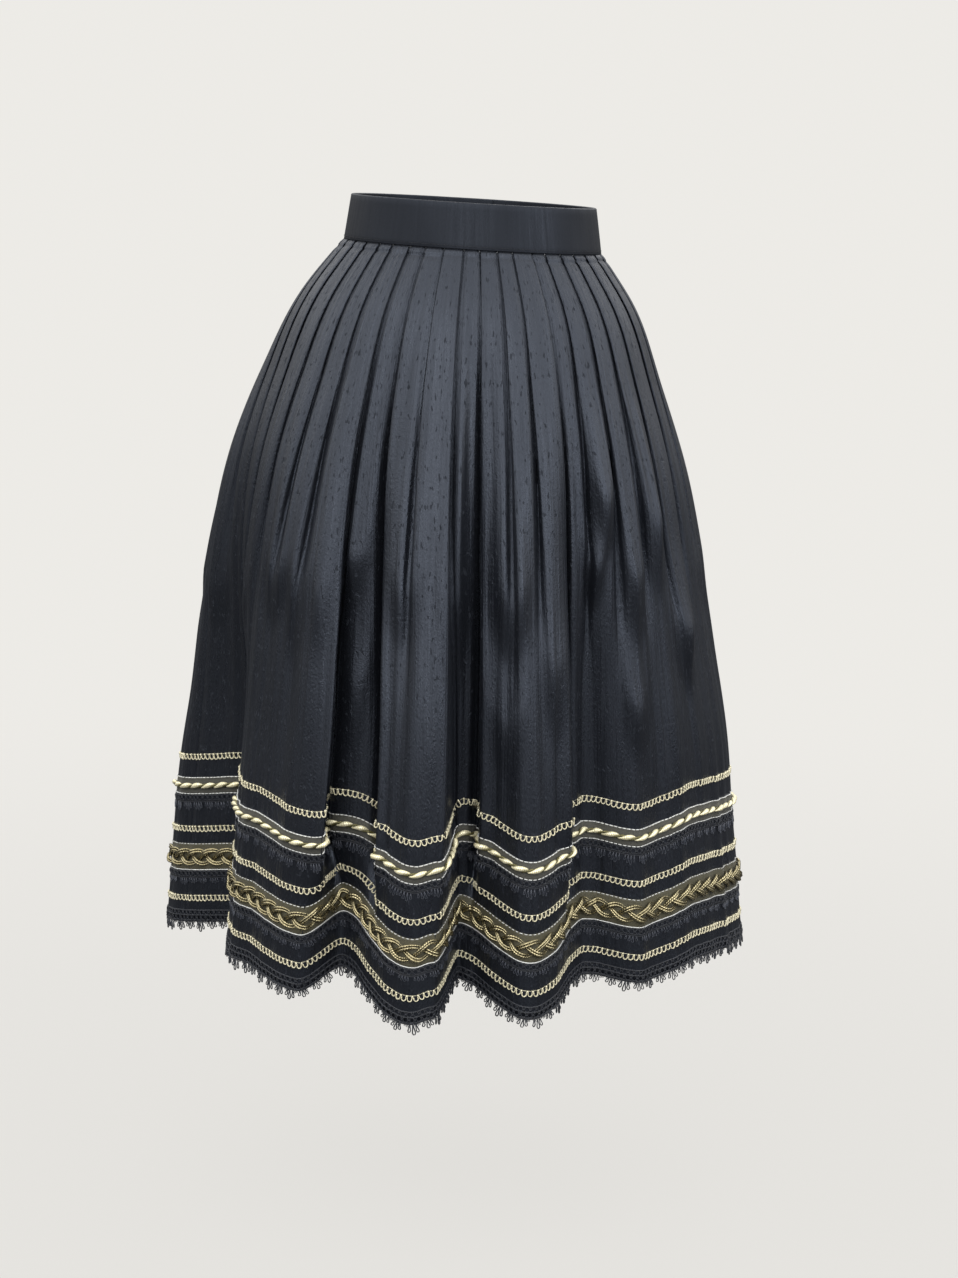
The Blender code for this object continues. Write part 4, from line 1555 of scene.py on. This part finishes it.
def make_floor():
    """A pale floor that fades into the background away from the skirt."""
    z = HEM_Z - FLOOR_BELOW_HEM
    bpy.ops.mesh.primitive_circle_add(vertices=96, radius=6.0, fill_type="NGON", location=(0, 0, z))
    floor = bpy.context.object
    floor.name = "floor"
    material, tree, shader = new_material("pale floor", {
        "Base Color": (0.27, 0.266, 0.258, 1),
        "Roughness": 0.9,
        "Specular IOR Level": 0.1,
    })
    where = tree.nodes.new("ShaderNodeTexCoord")
    length = tree.nodes.new("ShaderNodeVectorMath")
    length.operation = "LENGTH"
    tree.links.new(where.outputs["Object"], length.inputs[0])
    fade = map_range(tree, length.outputs["Value"], 0.5, 2.6, 0.17, 0.0, True)
    side = tree.nodes.new("ShaderNodeNewGeometry")
    above = math_node(tree, "SUBTRACT", 1.0, side.outputs["Backfacing"])
    tree.links.new(math_node(tree, "MULTIPLY", fade, above), shader.inputs["Alpha"])
    floor.data.materials.append(material)
    floor.visible_glossy = False


def area_light(name, place, target, size, power, color):
    light = bpy.data.lights.new(name, "AREA")
    light.shape = "RECTANGLE"
    light.size, light.size_y = size
    light.energy = power
    light.color = color
    obj = bpy.data.objects.new(name, light)
    bpy.context.scene.collection.objects.link(obj)
    turn = (Vector(target) - Vector(place)).to_track_quat("-Z", "Y").to_matrix().to_4x4()
    obj.matrix_world = Matrix.Translation(place) @ turn


def make_lights():
    """A broad soft light from above all round, stronger in front on the left, and pale walls."""
    for light in LIGHTS:
        area_light(*light)
    bpy.context.scene.view_settings.view_transform = "Standard"
    world = bpy.data.worlds.new("pale surroundings")
    bpy.context.scene.world = world
    world.use_nodes = True
    tree = world.node_tree
    tree.nodes.clear()
    add = tree.nodes.new
    seen = add("ShaderNodeBackground")
    seen.inputs["Color"].default_value = (0.845, 0.830, 0.795, 1)
    where = add("ShaderNodeTexCoord")
    split = add("ShaderNodeSeparateXYZ")
    connect(tree, (where, "Generated", split, 0))
    up = map_range(tree, split.outputs["Z"], -1.0, 1.0)
    ramp = add("ShaderNodeValToRGB")
    ramp.color_ramp.interpolation = "EASE"
    for element, (height, light) in zip(ramp.color_ramp.elements, DOME[:2]):
        element.position = (height + 1) / 2
        element.color = (light, light, light, 1)
    for height, light in DOME[2:]:
        ramp.color_ramp.elements.new((height + 1) / 2).color = (light, light, light, 1)
    tree.links.new(up, ramp.inputs["Fac"])
    behind = map_range(tree, split.outputs["Y"], 0.1, 0.9, 1.0, 0.5)
    lit = add("ShaderNodeBackground")
    tree.links.new(math_node(tree, "MULTIPLY", behind, DOME_STRENGTH), lit.inputs["Strength"])
    rays = add("ShaderNodeLightPath")
    mix = add("ShaderNodeMixShader")
    output = add("ShaderNodeOutputWorld")
    connect(
        tree,
        (ramp, "Color", lit, "Color"),
        (rays, "Is Camera Ray", mix, 0),
        (lit, 0, mix, 1),
        (seen, 0, mix, 2),
        (mix, 0, output, "Surface"),
    )


REPEAT_TREE = make_repeat_tree()
CORD_TREE = make_cord_tree()
SILK_GROUP = make_silk_group()
TWIST_GROUP = make_twist_group()
FINISH = make_materials()
SHAPES = make_small_shapes()

make_camera()
make_lights()
make_floor()

cloth_points = cloth_grid()
cloth_out = directions(cloth_points)
front_cloth, back_cloth = make_cloth(cloth_points)
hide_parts("skirt_front")
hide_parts("skirt_back")

rows_of_trim = {name: TrimRow(cloth_points, cloth_out, place) for name, place in TRIMS.items()}
gold_pieces = []
for label, node in (
    ("chain_top", "top_chain_braid"),
    ("chain_middle", "middle_chain_braid"),
    ("chain_bottom", "bottom_chain_braid"),
):
    gold_pieces += make_chain(label, rows_of_trim[label], node)
ribbon_pieces = make_rope_ribbon(rows_of_trim["rope"]) + make_plait_ribbon(rows_of_trim["plait"])
black_pieces = make_black_braid("black_upper", rows_of_trim["black_upper"], "upper_black_braid", 1.0)
black_pieces += make_black_braid("black_lower", rows_of_trim["black_lower"], "lower_black_braid", 0.7)
black_pieces += make_hem_braid(rows_of_trim["hem"])
band_pieces = make_waistband() + make_button()
for shape in SHAPES.values():
    bpy.data.objects.remove(shape, do_unlink=True)

for slot, pieces in (
    ("silk", [front_cloth, back_cloth, *band_pieces]),
    ("gold_gimp", gold_pieces),
    ("corded_ribbon", ribbon_pieces),
    ("black_gimp", black_pieces),
):
    for piece in pieces:
        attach(piece, "root")
